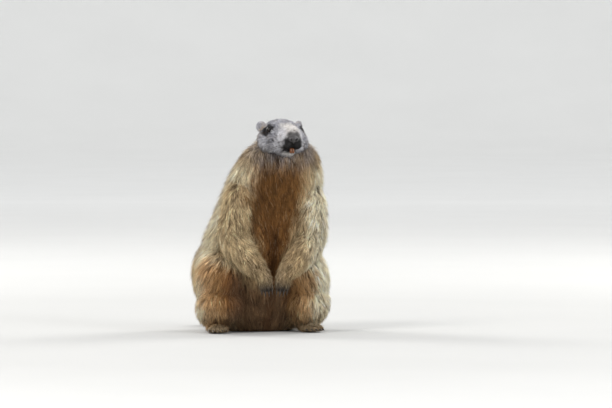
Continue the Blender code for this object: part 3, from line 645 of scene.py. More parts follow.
def hand_shape(side):
    """The hand's skin, and its claws."""
    wrist, tips = [Vector(p) for p in ARMS[side][2:]]
    along, across, out = (tips - wrist).normalized(), Vector((1, 0, 0)), Vector((0, -1, 0))
    palm = [
        (*(wrist - along * 0.008), 0.0090, 0.0070),
        (*(wrist + along * 0.002), 0.0100, 0.0074),
        (*(wrist + along * 0.010), 0.0106, 0.0076),
        (*(wrist + along * 0.018), 0.0103, 0.0064),
    ]
    form = {
        "bends": ((0.35, 0.0014), (0.70, 0.0010)), "cap": 0.0022, "sunk": 0.0030, "rise": 0.0,
        "sizes": ((0.0030, 0.0030), (0.0031, 0.0033), (0.0026, 0.0028), (0.0023, 0.0024)),
        "claw": ((0.0, 0.0, 0.0014, 0.0017), (0.0050, 0.0006, 0.0012, 0.0015),
                 (0.0096, -0.0010, 0.0006, 0.0008), (0.0120, -0.0026, 0.0003, 0.0003)),
    }
    pieces, claws = [loft("palm", palm, 24, 28, (0.006, 0.005))], []
    for place, length in ((-0.0084, 0.0115), (-0.0029, 0.0138), (0.0029, 0.0138), (0.0084, 0.0110)):
        root = wrist + along * 0.011 + across * place
        tip = wrist + along * (0.013 + length) + across * place * 1.10
        finger, claw = digit(root, tip, along, out, across, form)
        pieces.append(finger)
        claws.append(claw)
    hand = merge("hand_skin", pieces)
    melt(hand, HAND_VOXEL, 4)
    return hand, merge(f"claws_hand_{side}", claws)


def foot_ways(s):
    """The heel's place on the ground, and the ways along and across the foot."""
    turn = turned(("Z", s * FOOT_TURN))
    return Vector((s * HEEL.x, HEEL.y, 0)), turn @ Vector((0, -1, 0)), turn @ Vector((1, 0, 0))


def foot_shape(side):
    """The foot's skin, and its claws."""
    heel, ahead, across = foot_ways(SIDES[side])
    up = Vector((0, 0, 1))
    sole = [
        (*(heel - ahead * 0.004 + up * 0.0102), 0.0095, 0.0100),
        (*(heel + ahead * 0.018 + up * 0.0110), 0.0110, 0.0108),
        (*(heel + ahead * 0.042 + up * 0.0090), 0.0135, 0.0092),
        (*(heel + ahead * 0.058 + up * 0.0062), 0.0150, 0.0066),
    ]
    form = {
        "bends": ((0.45, 0.0020), (0.78, 0.0008)), "cap": 0.0028, "sunk": 0.0032, "rise": 0.0008,
        "sizes": ((0.0036, 0.0038), (0.0034, 0.0040), (0.0030, 0.0035), (0.0028, 0.0030)),
        "claw": ((0.0, 0.0, 0.0015, 0.0018), (0.0052, 0.0002, 0.0013, 0.0016),
                 (0.0094, -0.0012, 0.0008, 0.0009), (0.0118, -0.0026, 0.0003, 0.0003)),
    }
    pieces, claws = [loft("sole", sole, 30, 32, (0.010, 0.008), side_hint=across)], []
    for place, reach in ((-0.0128, 0.0100), (-0.0066, 0.0165), (0.0, 0.0185), (0.0066, 0.0165),
                         (0.0126, 0.0110)):
        root = heel + ahead * 0.050 + across * place + up * 0.0048
        tip = heel + ahead * (0.052 + reach) + across * place * 1.18 + up * 0.0046
        toe, claw = digit(root, tip, ahead, up, across, form)
        pieces.append(toe)
        claws.append(claw)
    foot = merge("foot_skin", pieces)
    melt(foot, FOOT_VOXEL, 4)
    return foot, merge(f"claws_foot_{side}", claws)


def trunk_core():
    """The trunk's stations inside its coat, which thins out towards the neck."""
    core = []
    for row in TRUNK:
        core += inset([row], DEPTH["trunk"] - 0.0045 * min(1.0, max(0.0, (row[2] - 0.27) / 0.05)))
    return core


def make_skin():
    """The whole skin as one closed surface, and the claws of hands and feet by name."""
    masses = [loft("trunk", trunk_core(), 60, 72, (0.020, 0.030), level=True, power=2.15)]
    for side, s in SIDES.items():
        upper, fore = arm_cores(side)
        thigh, shank = leg_cores(s)
        masses += [
            loft("upper_arm", inset(upper, DEPTH["upper_arm"]), 30, 32, (0.030, 0.022)),
            loft("forearm", inset(fore, DEPTH["forearm"]), 30, 32, (0.020, 0.008)),
            loft("thigh", inset(thigh, DEPTH["thigh"]), 30, 40, (0.030, 0.026)),
            loft("shank", inset(shank, DEPTH["shank"]), 30, 32, (0.022, 0.022)),
        ]
    masses.append(loft("tail", inset(TAIL, DEPTH["tail"]), 40, 32, (0.020, 0.016)))
    skin = merge("skin", masses)
    melt(skin, BODY_VOXEL, 6)
    claws, fine = {}, [make_head_skin()]
    for side in SIDES:
        for name, shape in (("hand", hand_shape), ("foot", foot_shape)):
            flesh, horn = shape(side)
            fine.append(flesh)
            claws[f"{name}_{side}"] = horn
    combine(skin, fine, "UNION")
    places = corners_of(skin.data)
    places[:, 2] = np.maximum(places[:, 2], 0.0012)
    move_corners(skin.data, places + np.array(SHIFT))
    for horn in claws.values():
        horn.data.transform(Matrix.Translation(SHIFT))
    return skin, claws


def limb_lines():
    """The middle line of each limb, as rows of place and radius, with its region and side."""
    lines = []
    for side, s in SIDES.items():
        upper, fore = arm_cores(side)
        thigh, shank = leg_cores(s)
        wrist, tips = [Vector(p) for p in ARMS[side][2:]]
        heel, ahead, _ = foot_ways(s)
        hand = [(*wrist.lerp(tips, t), 0.010, 0.008) for t in (0.15, 0.6, 1.0)]
        foot = [(*(heel + ahead * a + Vector((0, 0, 0.009))), 0.011, 0.010) for a in (-0.004, 0.03, 0.068)]
        lines += [("upper_arm", s, upper), ("forearm", s, fore), ("thigh", s, thigh), ("shank", s, shank),
                  ("hand", s, hand), ("foot", s, foot)]
    lines.append(("tail", 1, TAIL))
    return [(region, s, through(inset(rows, DEPTH.get(region, 0)), 24, even=True))
            for region, s, rows in lines]


def trunk_at(places):
    """For each place: its angle round the trunk, 0 in front, how far aside it is, and how far off the skin."""
    rows = through(trunk_core(), 90, even=True)
    rows = rows[np.argsort(rows[:, 2])]
    at = [np.interp(places[:, 2], rows[:, 2], rows[:, k]) for k in (0, 1, 3, 4, 5)]
    x, y = places[:, 0] - at[0], places[:, 1] - at[1]
    deep = np.where(y < 0, at[3], at[4])
    off = (np.hypot(x / at[2], y / deep) - 1) * np.minimum(at[2], deep)
    return np.arctan2(x, -y), x, off + np.maximum(0, places[:, 2] - TRUNK_TOP)


def trunk_survey(places, x, angle, front):
    """How the trunk's coat lies, and its chart for the bake map."""
    z = places[:, 2]
    down = np.stack([-9.0 * front * x * step(0.30, 0.22, z) + 0.8 * x, 0.25 * step(0.30, 0.34, z),
                     -np.ones(len(places))], 1)
    return down, np.stack([angle / (2 * math.pi) + 0.5, z / 0.36], 1)


def limb_survey(places, region, s, rows):
    """How far places lie off a limb, how its coat lies, and its chart for the bake map."""
    gaps = np.linalg.norm(places[:, None, :] - rows[None, :, :3], axis=2) - (rows[:, 3] + rows[:, 4]) / 2
    nearest = np.argmin(gaps, axis=1)
    along = unit(np.gradient(rows[:, :3], axis=0))[nearest]
    way = along * (ALONG_THIGH if region == "thigh" else 1.0) + np.array(LEAN[region]) * (s, 1, 1)
    side = unit(np.cross(along, (0.0, 1.0, 0.05) if region == "shank" else (0.05, 0.1, 1.0)))
    rest = places - rows[nearest, :3]
    turn = np.arctan2(dot(rest, np.cross(along, side)), dot(rest, side)) / (2 * math.pi) + 0.5
    return gaps.min(axis=1), way, np.stack([turn * 0.48 + (0.26 - 0.25 * s), nearest / (len(rows) - 1)], 1)


def head_survey(local):
    """How far places lie off the head, how its coat lies, and its chart for the bake map."""
    side, forward, up = local[:, 0], -local[:, 1], local[:, 2]
    skull = np.array(SKULL)
    half, above, below = [np.interp(forward, skull[:, 0], skull[:, k]) for k in (1, 2, 3)]
    middle, tall = (above - below) / 2, (above + below) / 2
    off = (np.hypot(side / half, (up - middle) / tall) - 1) * half
    off = off + np.maximum(0, -0.046 - forward) * 2 + np.maximum(0, -0.046 - up) * 2
    low = step(0.03, 0.0, forward)
    way = np.stack([0.35 * np.sign(side) * step(0.02, 0.05, forward) + 4 * side * low, np.ones(len(local)),
                    -0.45 * step(0.0, -0.02, up) * low], 1)
    for s in (1, -1):
        away = local - np.array((s * 0.032, 0.001, 0.0))
        way += unit(away) * (2.2 * step(0.013, 0.006, np.linalg.norm(away, axis=1)))[:, None]
        root = local - np.array((s * (EAR_AT.x - 0.006), EAR_AT.y + 0.001, EAR_AT.z - 0.009))
        way += unit(root) * (3.5 * step(0.0165, 0.0130, distance(local, mirrored(EAR_AT, s))))[:, None]
    polar = np.arccos(np.clip(unit(local - np.array((0, 0.004, -0.010)))[:, 1] * -1, -1, 1)) / math.pi
    chart = np.stack([np.arctan2(side, up + 0.010) / (2 * math.pi) + 0.5, polar], 1)
    return np.maximum(off, -0.004), way @ np.array(HEAD_FRAME)[:3, :3].T, chart


def survey(places, normals):
    """For places on the skin: each region's share, how the coat lies and the chart for its bake map."""
    local = in_head(places)
    angle, x, trunk_off = trunk_at(places)
    around = np.abs(angle) / math.pi
    front = step(0.42, 0.20, around)
    lines = limb_lines()
    tags = ["trunk", *(region for region, _, _ in lines), "head"]
    found = [(trunk_off, *trunk_survey(places, x, angle, front)),
             *(limb_survey(places, *line) for line in lines), head_survey(local)]
    offs, ways, charts = (np.array(values) for values in zip(*found))
    offs[[tag in ("hand", "foot") for tag in tags]] += 0.0015
    share = np.exp(-(offs - offs.min(axis=0)) / REGION_EDGE)
    share /= share.sum(axis=0)
    lie = sum(s[:, None] * unit(w) for s, w in zip(share, ways))
    lie = lie - dot(lie, normals)[:, None] * normals
    chart = charts[np.argmax(share, axis=0), np.arange(len(places))]

    parts = {region: np.zeros(len(places)) for region in REGIONS}
    for s, tag in zip(share, tags):
        if tag in parts:
            parts[tag] += s
    trunk, head = share[0], share[-1]
    neck = step(0.285, 0.315, places[:, 2])
    behind = step(0.55, 0.75, around)
    parts["neck"] += trunk * neck
    parts["chest"] += trunk * (1 - neck) * front
    parts["back"] += trunk * (1 - neck) * (1 - front) * behind
    parts["flank"] += trunk * (1 - neck) * (1 - front) * (1 - behind)
    ears = sum(step(0.0150, 0.0125, distance(local, (s * (EAR_AT.x + 0.002), EAR_AT.y, EAR_AT.z + 0.002)))
               for s in (1, -1))
    muzzle = step(0.018, 0.030, -local[:, 1])
    cheek = step(0.002, -0.008, local[:, 2]) * (1 - muzzle)
    parts["ear"] += head * ears
    parts["muzzle"] += head * (1 - ears) * muzzle
    parts["cheek"] += head * (1 - ears) * cheek
    parts["crown"] += head * (1 - ears) * (1 - muzzle) * (1 - cheek)
    return parts, unit(lie), chart, local, front, around


def ripple(places, size, seed):
    """Smooth random values from 0 to 1 over space, with patches about this size."""
    draw = np.random.default_rng(seed)
    value = np.zeros(len(places))
    for _ in range(7):
        way = unit(draw.normal(size=(1, 3)))[0] * draw.uniform(0.7, 1.5) * 2 * math.pi / size / 1.6
        value += np.sin(places @ way + draw.uniform(0, 6.28))
    return 0.5 + 0.5 * np.tanh(value / 2.2)


def blend(colour, other, share):
    """The colour, turned into the other one by a share from 0 to 1."""
    return colour + (other - colour) * np.reshape(np.clip(share, 0, 1), (-1, 1))


class Marks:
    """The coat's colour at places on the skin, and how many dark hairs and pale ones it has there."""

    def __init__(self, places, parts):
        count = len(places)
        self.parts = parts
        self.colour, self.dark, self.pale = np.zeros((count, 3)), np.zeros(count), np.zeros(count)
        self.broad, self.small = ripple(places, 0.030, 1), ripple(places, 0.012, 2)
        self.streak = ripple(places * np.array((1.0, 1.0, 0.22)), 0.009, 3)

    def lay(self, region, tone, darks, pales):
        share = self.parts[region]
        self.colour += share[:, None] * tone
        self.dark += share * darks
        self.pale += share * pales


def trunk_marks(marks, places, local, front, around):
    """Marks back, flanks, chest and neck, and returns the chest's rusty bib and how near its edge is."""
    x, _, z = places.T
    broad = marks.broad
    marks.lay("back", blend(INK["dun"], INK["straw"], 0.60 * broad), 0.26, 0.34)
    flank = blend(INK["cream"], INK["pale"], 0.45 + 0.55 * broad * step(0.06, 0.20, z))
    flank = blend(flank, INK["dun"], step(0.46, 0.62, around) * 0.8)
    marks.lay("flank", flank, 0.06 + 0.20 * step(0.4, 0.6, around), 0.16)
    off = np.abs(x - 0.010)
    edge = off / np.interp(z, (0.105, 0.125, 0.160, 0.190, 0.240), (0.008, 0.016, 0.024, 0.033, 0.042))
    edge = edge + 0.5 * (marks.streak - 0.5)
    bib = blend(INK["russet"], INK["tawny"], 0.25 + 0.5 * step(0.180, 0.230, z))
    bib = blend(bib, INK["umber"], step(0.013, 0.003, off) * step(0.220, 0.180, z) * 0.65)
    bib = blend(bib, INK["tawny"] * 1.15, step(0.30, 0.85, edge) * 0.85)
    bib *= np.array((0.58, 0.50, 0.40))
    chest = blend(bib, INK["sand"], step(0.80, 1.45, edge) * 0.9)
    marks.lay("chest", blend(chest, INK["umber"] * 2.2, step(0.115, 0.085, z) * 0.85), 0.08, 0.04)
    neck = blend(INK["dun"], INK["straw"], 0.5 * broad)
    neck = blend(neck, INK["tawny"], front * 0.6 * step(0.335, 0.295, z))
    neck = blend(neck, INK["smoke"] * 1.6, step(0.5, 0.75, around) * 0.6)
    near = step(0.070, 0.045, distance(local, (0, 0.010, -0.015)))
    marks.lay("neck", blend(neck, INK["slate"], near * (0.10 + 0.40 * marks.small)), 0.18, 0.20)
    return bib, edge


def limb_marks(marks, places, bib, edge):
    """Marks arms, legs and tail. The bib goes on over the inner side of the upper arms."""
    x, y, z = places.T
    broad, small = marks.broad, marks.small
    wide = np.maximum(x, -x - 0.010)
    outer = step(0.062, 0.086, wide) * 0.85
    inside = step(1.45, 0.80, edge) * step(-0.035, -0.060, y)
    arm = blend(INK["sand"] * 0.85, INK["cream"] * 0.85, 0.25 + 0.5 * broad)
    arm = blend(blend(arm, INK["pale"], outer), bib, inside * 0.85)
    marks.lay("upper_arm", arm, 0.06 + 0.16 * step(0.17, 0.21, z), 0.18 * (1 - inside))
    paler = 0.30 * broad + 0.45 * step(0.035, 0.080, np.abs(x - 0.005))
    fore = blend(INK["sand"] * 0.68, INK["cream"], paler)
    fore = blend(blend(fore, INK["pale"], outer), INK["dun"], step(0.030, 0.010, np.abs(x - 0.004)) * 0.5)
    marks.lay("forearm", blend(fore, INK["dun"] * 0.8, step(0.100, 0.082, z) * 0.6), 0.09, 0.16)
    marks.lay("hand", blend(INK["smoke"] * 0.45, INK["umber"], 0.4 * small), 0.3, 0.04)

    out = np.where(x > 0, x + 0.030, -x)
    # Inner side of thighs and shanks: darker fur with painted shade between the legs, belly and hands.
    leg = blend(INK["umber"] * 2.6, INK["russet"], step(0.052, 0.070, out))
    leg = blend(leg, INK["tawny"], step(0.068, 0.084, out) * (0.7 + 0.3 * broad))
    leg = blend(leg, INK["fawn"], step(0.082, 0.096, out) * 0.85)
    leg = blend(leg, INK["pale"], step(0.100, 0.114, out) * 0.9)
    leg = blend(leg, blend(INK["sand"], INK["cream"], broad), step(-0.035, 0.010, y) * 0.8)
    thigh = blend(leg, INK["pale"], step(0.122, 0.142, z) * step(0.085, 0.105, out) * 0.7)
    marks.lay("thigh", thigh, 0.12, 0.05 + 0.08 * step(0.090, 0.110, out))
    marks.lay("shank", blend(leg, INK["buff"], (0.15 + 0.35 * broad) * step(0.065, 0.035, z)), 0.12, 0.08)
    marks.lay("foot", blend(INK["buff"] * 0.8, INK["umber"], 0.35 * small), 0.15, 0.12)
    tail = blend(blend(INK["dun"], INK["straw"], 0.35 * broad), INK["umber"] * 0.6, step(0.125, 0.185, y))
    marks.lay("tail", tail, 0.35, 0.22 * step(0.19, 0.12, y))


def head_marks(marks, places, local):
    """Marks the grey head: paler bridge, dark muzzle, and dark round the eyes and between the lips."""
    forward, side, up = -local[:, 1], np.abs(local[:, 0]), local[:, 2]
    small = marks.small
    crown = blend(INK["slate"] * 0.75, INK["frost"] * 0.8, 0.10 + 0.55 * small * step(-0.030, 0.005, forward))
    crown = blend(crown, INK["smoke"] * 1.5, step(-0.022, -0.055, forward) * 0.7)
    bridge = INK["frost"] * 0.65 + INK["pale"] * 0.20
    crown = blend(crown, bridge, step(0.004, 0.022, forward) * step(0.020, 0.009, side) * 0.75)
    marks.lay("crown", crown, 0.14, 0.12)
    cheek = blend(INK["slate"] * 0.75, INK["frost"] * 0.9, 0.25 + 0.4 * marks.broad)
    marks.lay("cheek", blend(cheek, INK["dun"], step(0.004, -0.034, forward) * 0.8), 0.14, 0.20)
    half = np.interp(up, (-0.036, -0.026, -0.0167, -0.008, -0.003, 0.003),
                     (0.0130, 0.0165, 0.0160, 0.0112, 0.0090, 0.005))
    tip = step(1.22, 0.84, side / half + 0.16 * (ripple(places, 0.005, 4) - 0.5))
    tip *= step(0.022, 0.034, forward) * step(-0.040, -0.034, up) * step(0.003, -0.003, up)
    muzzle = blend(bridge, INK["frost"] * 0.9, step(0.006, 0.016, side) * 0.8)
    # The muzzle tip is dark grey, and darker towards the lips as painted shade under the nose.
    muzzle_dark_and_shade = blend(INK["smoke"] * 0.75, INK["smoke"] * 0.16, step(-0.005, -0.015, up))
    marks.lay("muzzle", blend(muzzle, muzzle_dark_and_shade, tip), 0.05, 0.05 * (1 - tip))
    ears = blend(INK["slate"], INK["frost"], 0.45)
    inner = step(EAR_AT.y, EAR_AT.y - 0.004, local[:, 1]) * (0.25 + 0.55 * step(0.003, -0.004, up - EAR_AT.z))
    marks.lay("ear", blend(ears, INK["buff"] * 0.9, inner), 0.10, 0.15)

    head = marks.parts["crown"] + marks.parts["cheek"] + marks.parts["muzzle"]
    for s in (1, -1):
        spot = (local - np.array((s * 0.0295, 0.0008, -0.0002))) * np.array((1.0, 0.85, 1.10))
        patch = step(0.0155, 0.0110, np.linalg.norm(spot, axis=1) + 0.002 * (small - 0.5))
        at = np.clip((forward + 0.004) / 0.020, 0, 1)
        stripe = np.hypot(local[:, 0] - s * (0.030 - 0.006 * at), up + 0.004 + 0.012 * at)
        stripe = step(0.0065, 0.0030, stripe) * step(-0.002, 0.002, forward) * step(0.021, 0.015, forward)
        shadow = np.maximum(patch, 0.65 * stripe) * head
        marks.colour = blend(marks.colour, INK["soot"] * 1.3, shadow)
        marks.pale *= 1 - shadow
    # The lips are dark skin, and the mouth's gap between them is painted black as shade.
    gap = np.abs(up - mouth_line(forward, side))
    lips = step(0.0028, 0.0012, gap) * step(0.020, 0.024, forward) * step(0.0, 0.010, 0.034 - side)
    marks.colour = blend(marks.colour, INK["soot"], lips * head)


def markings(places, parts, local, front, around):
    """The marks of the whole coat."""
    marks = Marks(places, parts)
    limb_marks(marks, places, *trunk_marks(marks, places, local, front, around))
    body = 1 - sum(parts[region] for region in FINE)
    marks.colour *= (1 + 0.48 * (marks.streak - 0.5) * body)[:, None]
    marks.dark += 0.13 * step(0.38, 0.15, marks.streak) * body
    head_marks(marks, places, local)
    return marks.colour, marks.dark, marks.pale


def spread(places, triangles, density, draw):
    """Random places over the skin, as many as the density asks: their triangles and shares of the corners."""
    a, b, c = (places[triangles[:, k]] for k in range(3))
    area = np.linalg.norm(np.cross(b - a, c - a), axis=1) / 2
    edges = np.cumsum(area * 1e6 * density[triangles].mean(axis=1))
    count = int(edges[-1])
    picks = np.searchsorted(edges, (np.arange(count) + draw.random(count)) / count * edges[-1])
    picks = np.minimum(picks, len(triangles) - 1)
    r, s = np.sqrt(draw.random(count)), draw.random(count)
    return picks, np.stack([1 - r, r * (1 - s), r * s], 1)


def thinned(places, spacing, chosen, draw):
    """One of the chosen places for each cell of this size, picked at random."""
    order = draw.permutation(np.flatnonzero(chosen))
    cells = np.floor(places[order] / spacing).astype(np.int64)
    return order[np.unique(cells, axis=0, return_index=True)[1]]


def comb(tree, triangles, lie, roots, ways, lengths, bends):
    """Walks along the lie of the coat from each root: places on the skin, and the normals there."""
    flow = unit(lie[triangles].sum(axis=1))
    places = np.zeros((len(roots), STEPS + 1, 3))
    normals = np.zeros_like(places)
    for i, root in enumerate(roots):
        here, way = Vector(root), Vector(ways[i])
        _, out, _, _ = tree.find_nearest(here)
        places[i, 0], normals[i, 0] = here, out
        for k in range(1, STEPS + 1):
            side = out.cross(way)
            here, out, face, _ = tree.find_nearest(here + (way + side * bends[i]) * (lengths[i] / STEPS))
            way = way * 0.35 + Vector(flow[face]) * 0.65
            way = (way - way.dot(out) * out).normalized()
            places[i, k], normals[i, k] = here, out
    return places, normals


def along_guides(values, guide, share):
    """The guides' values at a share of their length."""
    place = np.clip(share, 0, 1) * STEPS
    low = np.minimum(place.astype(int), STEPS - 1)
    t = (place - low)[:, None]
    return values[guide, low] * (1 - t) + values[guide, low + 1] * t


def strands_mesh(name, groups):
    """Closed tapered strands of three sides.

    A group has its strands' rings (strand, ring, corner), tips, colours from root to tip and bake spots.
    """
    verts, faces, shades, patches, start = [], [], [], [], 0
    for rings, tips, colours, spots in groups:
        count, depth = rings.shape[:2]
        corners = depth * 3 + 1
        verts.append(np.concatenate([rings.reshape(count, -1, 3), tips[:, None]], axis=1).reshape(-1, 3))
        pattern = [(0, 2, 1)]
        for r in range(depth - 1):
            for k in range(3):
                a, b = r * 3 + k, r * 3 + (k + 1) % 3
                pattern += [(a, b, b + 3), (a, b + 3, a + 3)]
        last = (depth - 1) * 3
        pattern += [(last + k, last + (k + 1) % 3, corners - 1) for k in range(3)]
        own = (np.arange(count)[:, None, None] * corners + np.array(pattern)[None]).reshape(-1, 3)
        shade = np.ones((count, corners, 4))
        shade[:, :-1, :3] = np.repeat(colours[:, :depth], 3, axis=1)
        shade[:, -1, :3] = colours[:, depth]
        patch = np.zeros((count, corners, 2))
        for r in range(depth):
            for k, (across, lift) in enumerate(((-0.0015, 0), (0.0, -0.0004), (0.0015, 0))):
                patch[:, r * 3 + k] = (across, lift + 0.0026 * r / depth)
        patch[:, -1] = (0.0, 0.0026)
        patch = (spots[:, None] * 0.99 + 0.004 + patch).reshape(-1, 2)
        faces.append(own + start)
        shades.append(shade.reshape(-1, 4))
        patches.append(patch[own.ravel()])
        start += count * corners
    verts, faces = np.concatenate(verts), np.concatenate(faces)
    mesh = bpy.data.meshes.new(name)
    mesh.vertices.add(len(verts))
    mesh.vertices.foreach_set("co", verts.astype(np.float32).ravel())
    mesh.loops.add(faces.size)
    mesh.loops.foreach_set("vertex_index", faces.astype(np.int32).ravel())
    mesh.polygons.add(len(faces))
    mesh.polygons.foreach_set("loop_start", np.arange(0, faces.size, 3, dtype=np.int32))
    mesh.update(calc_edges=True)
    mesh.shade_smooth()
    tint = mesh.attributes.new("shade", "FLOAT_COLOR", "POINT")
    tint.data.foreach_set("color", np.concatenate(shades).astype(np.float32).ravel())
    layer = mesh.uv_layers.new(name="OFBake")
    layer.data.foreach_set("uv", np.concatenate(patches).astype(np.float32).ravel())
    return add_object(name, mesh)


def grown_at(local):
    """How much of the short coat grows at each place of the head: none on lids, nose pad and lips."""
    grown = np.ones(len(local))
    for s in (1, -1):
        along, off, _ = round_eye(local, s)
        grown *= 1 - step(0.0084, 0.0074, off) * step(-0.001, 0.001, along)
    pad = (local - np.array(NOSE_AT)) / np.array((0.0092, 0.0056, 0.0064))
    grown *= step(1.12, 1.22, np.linalg.norm(pad, axis=1))
    forward = -local[:, 1]
    gap = np.abs(local[:, 2] - mouth_line(forward, local[:, 0]))
    return grown * (1 - step(0.0016, 0.0009, gap) * step(0.020, 0.024, forward))


def strand_tones(tone, darker, paler, guard, guide, guides, draw):
    """The colour of each strand at its root, along its length and at its tip."""
    count = len(tone)
    chance = draw.random(count)
    lock = 1 + 0.12 * draw.normal(0, 1, guides).clip(-1.8, 1.8)
    own = lock[guide] * (1 + 0.15 * draw.normal(0, 1, count).clip(-2, 2))
    is_dark = (chance < darker * np.where(guard, 0.9, 0.35)) | (draw.random(guides)[guide] < 0.30 * darker)
    is_pale = ~is_dark & (chance > 1 - paler * np.where(guard, 1.0, 0.6))
    is_tipped = guard & ~is_dark & (draw.random(count) < 0.8 * darker)
    pigment = INK["umber"] * 0.8
    # Pale strands are the coat's pale hairs, made brighter than the tone as a painted sheen.
    pale_hair_and_sheen = tone * 1.3 + INK["pale"] * 0.18
    body = np.where(is_pale[:, None], pale_hair_and_sheen, tone)
    body = np.where(is_dark[:, None], tone * 0.30 + pigment * 0.70, body) * own.clip(0.45, 1.6)[:, None]
    # Light strands brighten to the tip: paler hair tips with a painted highlight. Dark strands darken to the
    # tip.
    tip = body * np.where(is_dark, 0.7, 1.22)[:, None]
    tip = np.where(is_tipped[:, None], tone * 0.2 + pigment * 0.8, tip)
    # The root colour is the darker undercoat with painted shade deep among the strands.
    return tone * 0.36, body, tip


def strand_rings(levels, profile, wide, low, high):
    """Three corners for each level of the strands but the last, which is the tip."""
    rings = []
    for r, keep in enumerate(profile):
        middle, out = levels[r]
        way = unit(levels[r + 1][0] - middle)
        side = unit(np.cross(way, out))
        half = (wide * keep / 2)[:, None]
        ridge = middle + np.cross(side, way) * half * 0.7
        rings.append(np.stack([middle - side * half, ridge, middle + side * half], 1))
    rings, tips = np.stack(rings, 1), levels[-1][0]
    for points in (rings, tips):
        np.clip(points, low + MARGIN, high - MARGIN, out=points)
    return rings, tips


def make_coat(skin, low, high):
    """Strands all over the skin, gathered into locks, as one or two pieces for each region."""
    draw = np.random.default_rng(5)
    places, normals, triangles = corners_of(skin.data), normals_of(skin.data), triangles_of(skin.data)
    bed = places - np.array(SHIFT)
    parts, lie, chart, local, front, around = survey(bed, normals)
    colour, dark, pale = markings(bed, parts, local, front, around)
    share = np.stack([parts[region] for region in REGIONS], 1)
    share /= share.sum(axis=1, keepdims=True)
    length, rise, width, density, gather = (share @ np.array(list(COAT.values()))).T
    fine = share @ np.array([region in FINE for region in REGIONS], float)
    near_eye = np.min([distance(local, mirrored(EYE_AT, s)) for s in (1, -1)], axis=0)
    by_eye = 0.35 + 0.65 * step(0.009, 0.022, near_eye)
    length, rise = length * by_eye, rise * by_eye
    on_head = share[:, [REGIONS.index(r) for r in ("crown", "cheek", "muzzle")]].sum(axis=1) > 0.5
    density = np.where(on_head, density * grown_at(local), density) * step(0.0015, 0.004, places[:, 2])

    tree = BVHTree.FromPolygons([tuple(p) for p in places], [tuple(t) for t in triangles.tolist()])
    guides = np.concatenate([thinned(places, GUIDE_SPACING, fine < 0.5, draw),
                             thinned(places, FINE_SPACING, fine >= 0.5, draw)])
    bends = draw.normal(0, 0.20, len(guides))
    walked, facing = comb(tree, triangles, lie, places[guides], lie[guides], 1.15 * length[guides], bends)
    lookup = KDTree(len(guides))
    for i, k in enumerate(guides):
        lookup.insert(places[k], i)
    lookup.balance()
    picks, weights = spread(places, triangles, density, draw)
    corners = triangles[picks]

    def here(values):
        return np.einsum("ij,ij...->i...", weights, values[corners])

    root = here(places)
    count = len(root)
    tender = here(fine) > 0.5
    guard = ~tender & (draw.random(count) < GUARD_SHARE)
    near = root + draw.normal(0, 1, (count, 3)) * np.where(tender, 0.0010, 0.0018)[:, None]
    guide = np.array([lookup.find(p)[1] for p in near.tolist()])
    long, short = draw.uniform(0.84, 1.03, count), draw.uniform(0.60, 0.90, count)
    reach = (here(length) / length[guides][guide]).clip(0.5, 1.6) * np.where(guard | tender, long, short)
    lift = here(rise) * np.where(guard, draw.uniform(0.70, 1.05, count), draw.uniform(0.35, 0.90, count))
    wide = here(width) * draw.uniform(0.75, 1.15, count) * np.where(tender, 1.0, np.where(guard, 0.80, 1.08))
    hold = here(gather)[:, None]
    sideways = root - walked[guide, 0]
    sideways -= dot(sideways, facing[guide, 0])[:, None] * facing[guide, 0]
    stray = draw.normal(0, 1, (count, 3)) * (0.060 * here(length))[:, None]
    sunk = np.where(tender, 0.0004, 0.0010)

    def at(t):
        flat = along_guides(walked, guide, t * reach) - walked[guide, 0]
        out = unit(along_guides(facing, guide, t * reach))
        height = lift * t**1.35 - sunk * (1 - t) ** 4
        return root + flat + out * height[:, None] - hold * t**2 * sideways + stray * t**1.5, out

    undercoat_and_shade, body, tip = strand_tones(here(colour), here(dark), here(pale), guard, guide, len(guides), draw)
    kinds = []
    # Each strand runs from a root of darker undercoat with painted shade to a tip of paler hair with a painted
    # highlight; fine hair gets a milder painted shade at its root.
    for chosen, shares, profile, tints in (
            (tender, (0.0, 0.52), (0.9, 0.8), (body * 0.80, body, tip)),
            (~tender & ~guard, (0.0, 0.45), (0.9, 0.95), (undercoat_and_shade, body * 1.02, tip)),
            (guard, (0.0, 0.34, 0.68), (0.8, 1.0, 0.66), (undercoat_and_shade, body * 0.98, body * 1.06, tip))):
        rings, tips = strand_rings([at(t) for t in (*shares, 1.0)], profile, wide, low, high)
        kinds.append((chosen, rings, tips, np.stack(tints, 1).clip(0, 0.95)))
    owner, spots, made = np.argmax(here(share), axis=1), chart[corners[:, 0]], []
    for k, region in enumerate(REGIONS):
        name = "coat_" + PLURALS.get(region, region)
        halves = [(f"{name}_{side}", s) for side, s in SIDES.items()] if region in PAIRED else [(name, 0)]
        for piece, s in halves:
            mine = (owner == k) & (root[:, 0] * s >= 0)
            box = (spots - spots[mine].min(axis=0)) / np.maximum(np.ptp(spots[mine], axis=0), 1e-6)
            groups = [[values[mine & chosen] for values in (rings, tips, tints, box)]
                      for chosen, rings, tips, tints in kinds if (mine & chosen).any()]
            made.append((region, strands_mesh(piece, groups)))
    # The skin takes the coat's colour darkened: the darker undercoat with painted shade, strongest under the
    # long coat.
    ground = np.concatenate([colour * (0.45 + 0.45 * fine)[:, None], np.ones((len(colour), 1))], 1)
    tint = skin.data.attributes.new("shade", "FLOAT_COLOR", "POINT")
    tint.data.foreach_set("color", ground.astype(np.float32).ravel())
    return made


